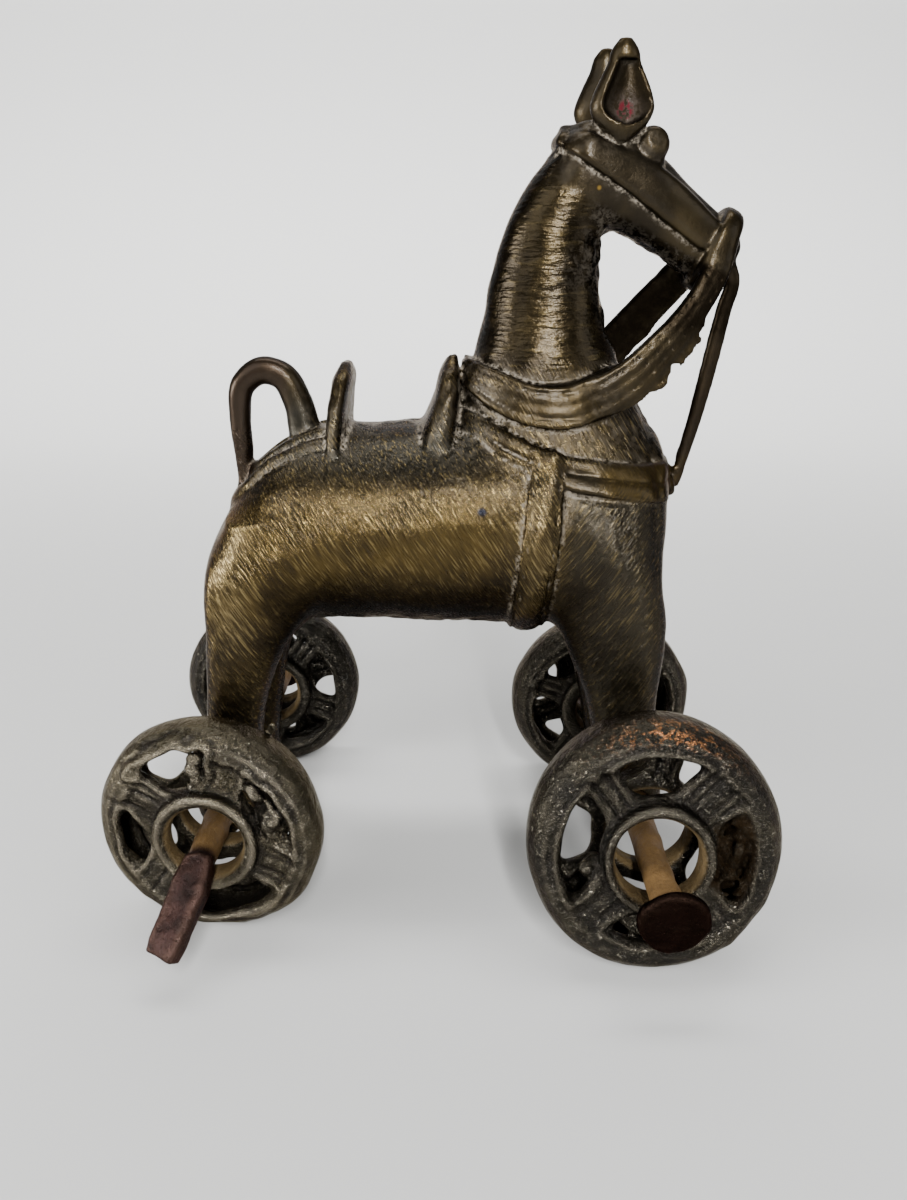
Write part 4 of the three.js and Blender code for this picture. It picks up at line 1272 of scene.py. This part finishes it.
def wheel_metal(name, tone):
    """Pewter brown and glossy, with pits on the faces, an ochre bore, clay core and a copper glint,
    with painted glints on the faces and painted shade in the creases and the hollow.

    The tone makes the patina of one wheel lighter or darker, and is painted shade on the far wheels.
    """
    m = Nodes(f"{name}_metal_look")
    # The tone darkens the far wheels as painted shade
    dull, light, grainy, worn, tread = [tuple(tone * part for part in tint) for tint in WHEEL_PATINA]
    cloud, grain, fine = m.noise(9, 4), m.noise(1.3, 5, 0.65), m.noise(0.5, 3, 0.6)
    streaks = m.times(m.ramp(grain, 0.48, 0.56), m.ramp(fine, 0.4, 0.55))
    core = m.mask("core", m.ramp(grain, 0.35, 0.6, 0.6, 1))
    colour = m.layered(m.mix(m.ramp(cloud, 0.38, 0.64), dull, light), [
        (m.ramp(grain, 0.5, 0.7, 0, 0.3), grainy),
        (m.mask("worn", 0.3), worn),
        (m.mask("tread", 0.4), tread),
        # Painted glints in bright specks on the faces
        (m.times(m.ramp(fine, 0.56, 0.66, 0, 0.7), m.ramp(grain, 0.48, 0.58)), PAINTED_GLINT),
        (m.mask("glint", streaks), COPPER),
        # Painted shade inside the hollow
        (m.mask("inside", 0.85), PAINTED_HOLLOW_SHADE),
        # Painted shade darkens the creases
        (m.mask("dust", m.ramp(grain, 0.4, 0.6, 0.4, 0.9)), PAINTED_CREASE_SHADE),
        (core, CLAY_CORE),
        (m.mask("bore"), BORE_OCHRE),
    ])
    bore = m.mask("bore", 0.8)
    matt = m.most(bore, m.most(m.mask("inside"), core))
    metallic, coat = m.times(m.rest(bore), 0.94), m.times(m.rest(matt), 0.2)
    roughness = m.mix_value(matt, m.ramp(grain, 0.3, 0.7, 0.13, 0.28), 0.7)
    pitted = m.mix_value(m.mask("tread"), m.ramp(fine, 0.3, 0.62), m.ramp(fine, 0, 1))
    normal = m.bump(pitted, 0.13, m.bump(grain, 0.25, m.bump(m.noise(3.2, 2), 0.7)))
    return m.finished(colour, metallic, roughness, normal, coat, 0.13, (0.45, 0.4, 0.3))


def rusty_iron():
    """Purple-brown scale on the bent end, a dark head and a rubbed ochre shaft."""
    m = Nodes("rusty_iron_look")
    cloud, grain = m.noise(4, 4), m.noise(0.8, 5, 0.7)
    ochre, head = m.mask("ochre", m.ramp(grain, 0.25, 0.55, 0.7, 1)), m.mask("head")
    colour = m.layered(m.mix(m.ramp(cloud, 0.36, 0.64), IRON, IRON_LIGHT), [
        (m.ramp(grain, 0.52, 0.74, 0, 0.6), IRON_GRAIN),
        (m.mask("worn", 0.3), IRON_WORN),
        (ochre, SHAFT_OCHRE),
        (m.times(head, 0.85), NAIL_HEAD),
    ])
    metallic = m.mix_value(head, m.mix_value(ochre, 0.95, 0.3), 0.97)
    roughness = m.mix_value(ochre, m.ramp(grain, 0.3, 0.7, 0.24, 0.42), 0.6)
    coat = m.mix_value(m.most(ochre, head), 0.15, 0)
    normal = m.bump(grain, 0.25, m.bump(cloud, 0.5))
    return m.finished(colour, metallic, roughness, normal, coat, 0.2, (0.4, 0.28, 0.22))


# The pieces

WHEEL_SEED = 100
NAIL_SEED = 200


def add_pieces():
    horse_look, nail_look = horse_metal(), rusty_iron()
    horse = mesh_from("horse_casting", horse_grid(), (0, 0, 0), HORSE_TRIANGLES, horse_masks)
    horse.data.materials.append(horse_look)
    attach(horse, "toy_body")
    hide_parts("horse")
    for number, (name, wheel) in enumerate(WHEELS.items()):
        centre = (*wheel["place"], wheel["radius"])
        grid = wheel_grid(name, wheel, WHEEL_SEED + 10 * number)
        piece = mesh_from(f"{name}_wheel_casting", grid, centre, WHEEL_TRIANGLES, wheel_masks(wheel))
        piece.data.materials.append(wheel_metal(name, wheel["tone"]))
        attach(piece, f"{name}_wheel")
        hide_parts(f"wheel_{name}")
    nails = [("rear", REAR_AXLE_X, REAR_NAIL_Z, 1), ("front", FRONT_AXLE_X, FRONT_NAIL_Z, -1)]
    for name, axle_x, nail_z, head_side in nails:
        grid = nail_grid(axle_x, nail_z, head_side, NAIL_SEED + head_side)
        piece = mesh_from(f"{name}_nail", grid, (0, 0, 0), NAIL_TRIANGLES, nail_masks(head_side))
        piece.data.materials.append(nail_look)
        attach(piece, "toy_body")
        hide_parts(f"axle_{name}")


# Camera, floor and light, in metres, degrees and watts; the lens and its sensor are in millimetres

CAMERA_PLACE = (0.00425, -0.1824, 0.1251)
CAMERA_TILT = 70.1
CAMERA_LENS = 27.03
CAMERA_SENSOR = 36
FLOOR_HALF_WIDTH = 2
FLOOR_FRONT, FLOOR_BACK = -1.2, 0.45
BACKDROP_BEND = 0.35
BACKDROP_STEPS = 12
BACKDROP_TOP = 1.6
MIDDLE = (0, 0, 0.08)
# Each light: its name, its place, what it faces, its width and height, its power and its spread
LIGHTS = [
    ("window", (0.12, -0.95, 0.62), MIDDLE, (0.06, 0.75), 21, 180),
    ("side_window", (-0.92, -0.3, 0.22), MIDDLE, (0.45, 0.32), 10, 180),
    ("side_fill", (-0.7, -0.62, 0.6), MIDDLE, (0.9, 0.7), 5, 180),
    ("fill", (0.7, -0.35, 0.35), MIDDLE, (0.4, 0.6), 1.4, 180),
    ("wall", (0, 0.25, 1.3), (0, 0.75, 0.3), (1.4, 0.3), 15, 180),
    ("backdrop", (0, 0.45, 1.3), (0, 0.78, 0.25), (1.4, 0.3), 8, 64),
]
SKY_COLOUR = (0.92, 0.95, 1, 1)
SKY_STRENGTH = 0.14


def add_camera():
    camera = placed("camera", bpy.data.cameras.new("camera"))
    camera.location = CAMERA_PLACE
    camera.rotation_euler = (math.radians(CAMERA_TILT), 0, 0)
    camera.data.sensor_fit = "VERTICAL"
    camera.data.sensor_height = CAMERA_SENSOR
    camera.data.lens = CAMERA_LENS
    camera.data.clip_start = 0.01
    bpy.context.scene.camera = camera


def add_floor():
    """A plain pale floor that curves up into a backdrop behind the toy."""
    profile = [(FLOOR_FRONT, 0), (FLOOR_BACK, 0)]
    for step in range(1, BACKDROP_STEPS + 1):
        angle = math.radians(90 * step / BACKDROP_STEPS)
        rise = BACKDROP_BEND * (1 - math.cos(angle))
        profile.append((FLOOR_BACK + BACKDROP_BEND * math.sin(angle), rise))
    profile.append((FLOOR_BACK + BACKDROP_BEND, BACKDROP_TOP))
    vertices = [(x, y, z) for x in (-FLOOR_HALF_WIDTH, FLOOR_HALF_WIDTH) for y, z in profile]
    count = len(profile)
    faces = [(i, count + i, count + i + 1, i + 1) for i in range(count - 1)]
    mesh = bpy.data.meshes.new("floor")
    mesh.from_pydata(vertices, [], faces)
    for polygon in mesh.polygons:
        polygon.use_smooth = True
    m = Nodes("pale_floor")
    m.put(m.shader.inputs["Base Color"], FLOOR_GREY)
    m.put(m.shader.inputs["Roughness"], 0.8)
    mesh.materials.append(m.material)
    floor = placed("floor", mesh)


def add_lights():
    for name, place, target, size, power, spread in LIGHTS:
        light = placed(name, bpy.data.lights.new(name, "AREA"))
        light.location = place
        light.rotation_euler = (Vector(target) - Vector(place)).to_track_quat("-Z", "Y").to_euler()
        light.data.shape = "RECTANGLE"
        light.data.size, light.data.size_y = size
        light.data.energy = power
        light.data.spread = math.radians(spread)
    world = bpy.data.worlds.new("studio")
    bpy.context.scene.world = world
    world.use_nodes = True
    background = world.node_tree.nodes["Background"]
    background.inputs["Color"].default_value = SKY_COLOUR
    background.inputs["Strength"].default_value = SKY_STRENGTH


add_camera()
add_floor()
add_lights()
add_pieces()
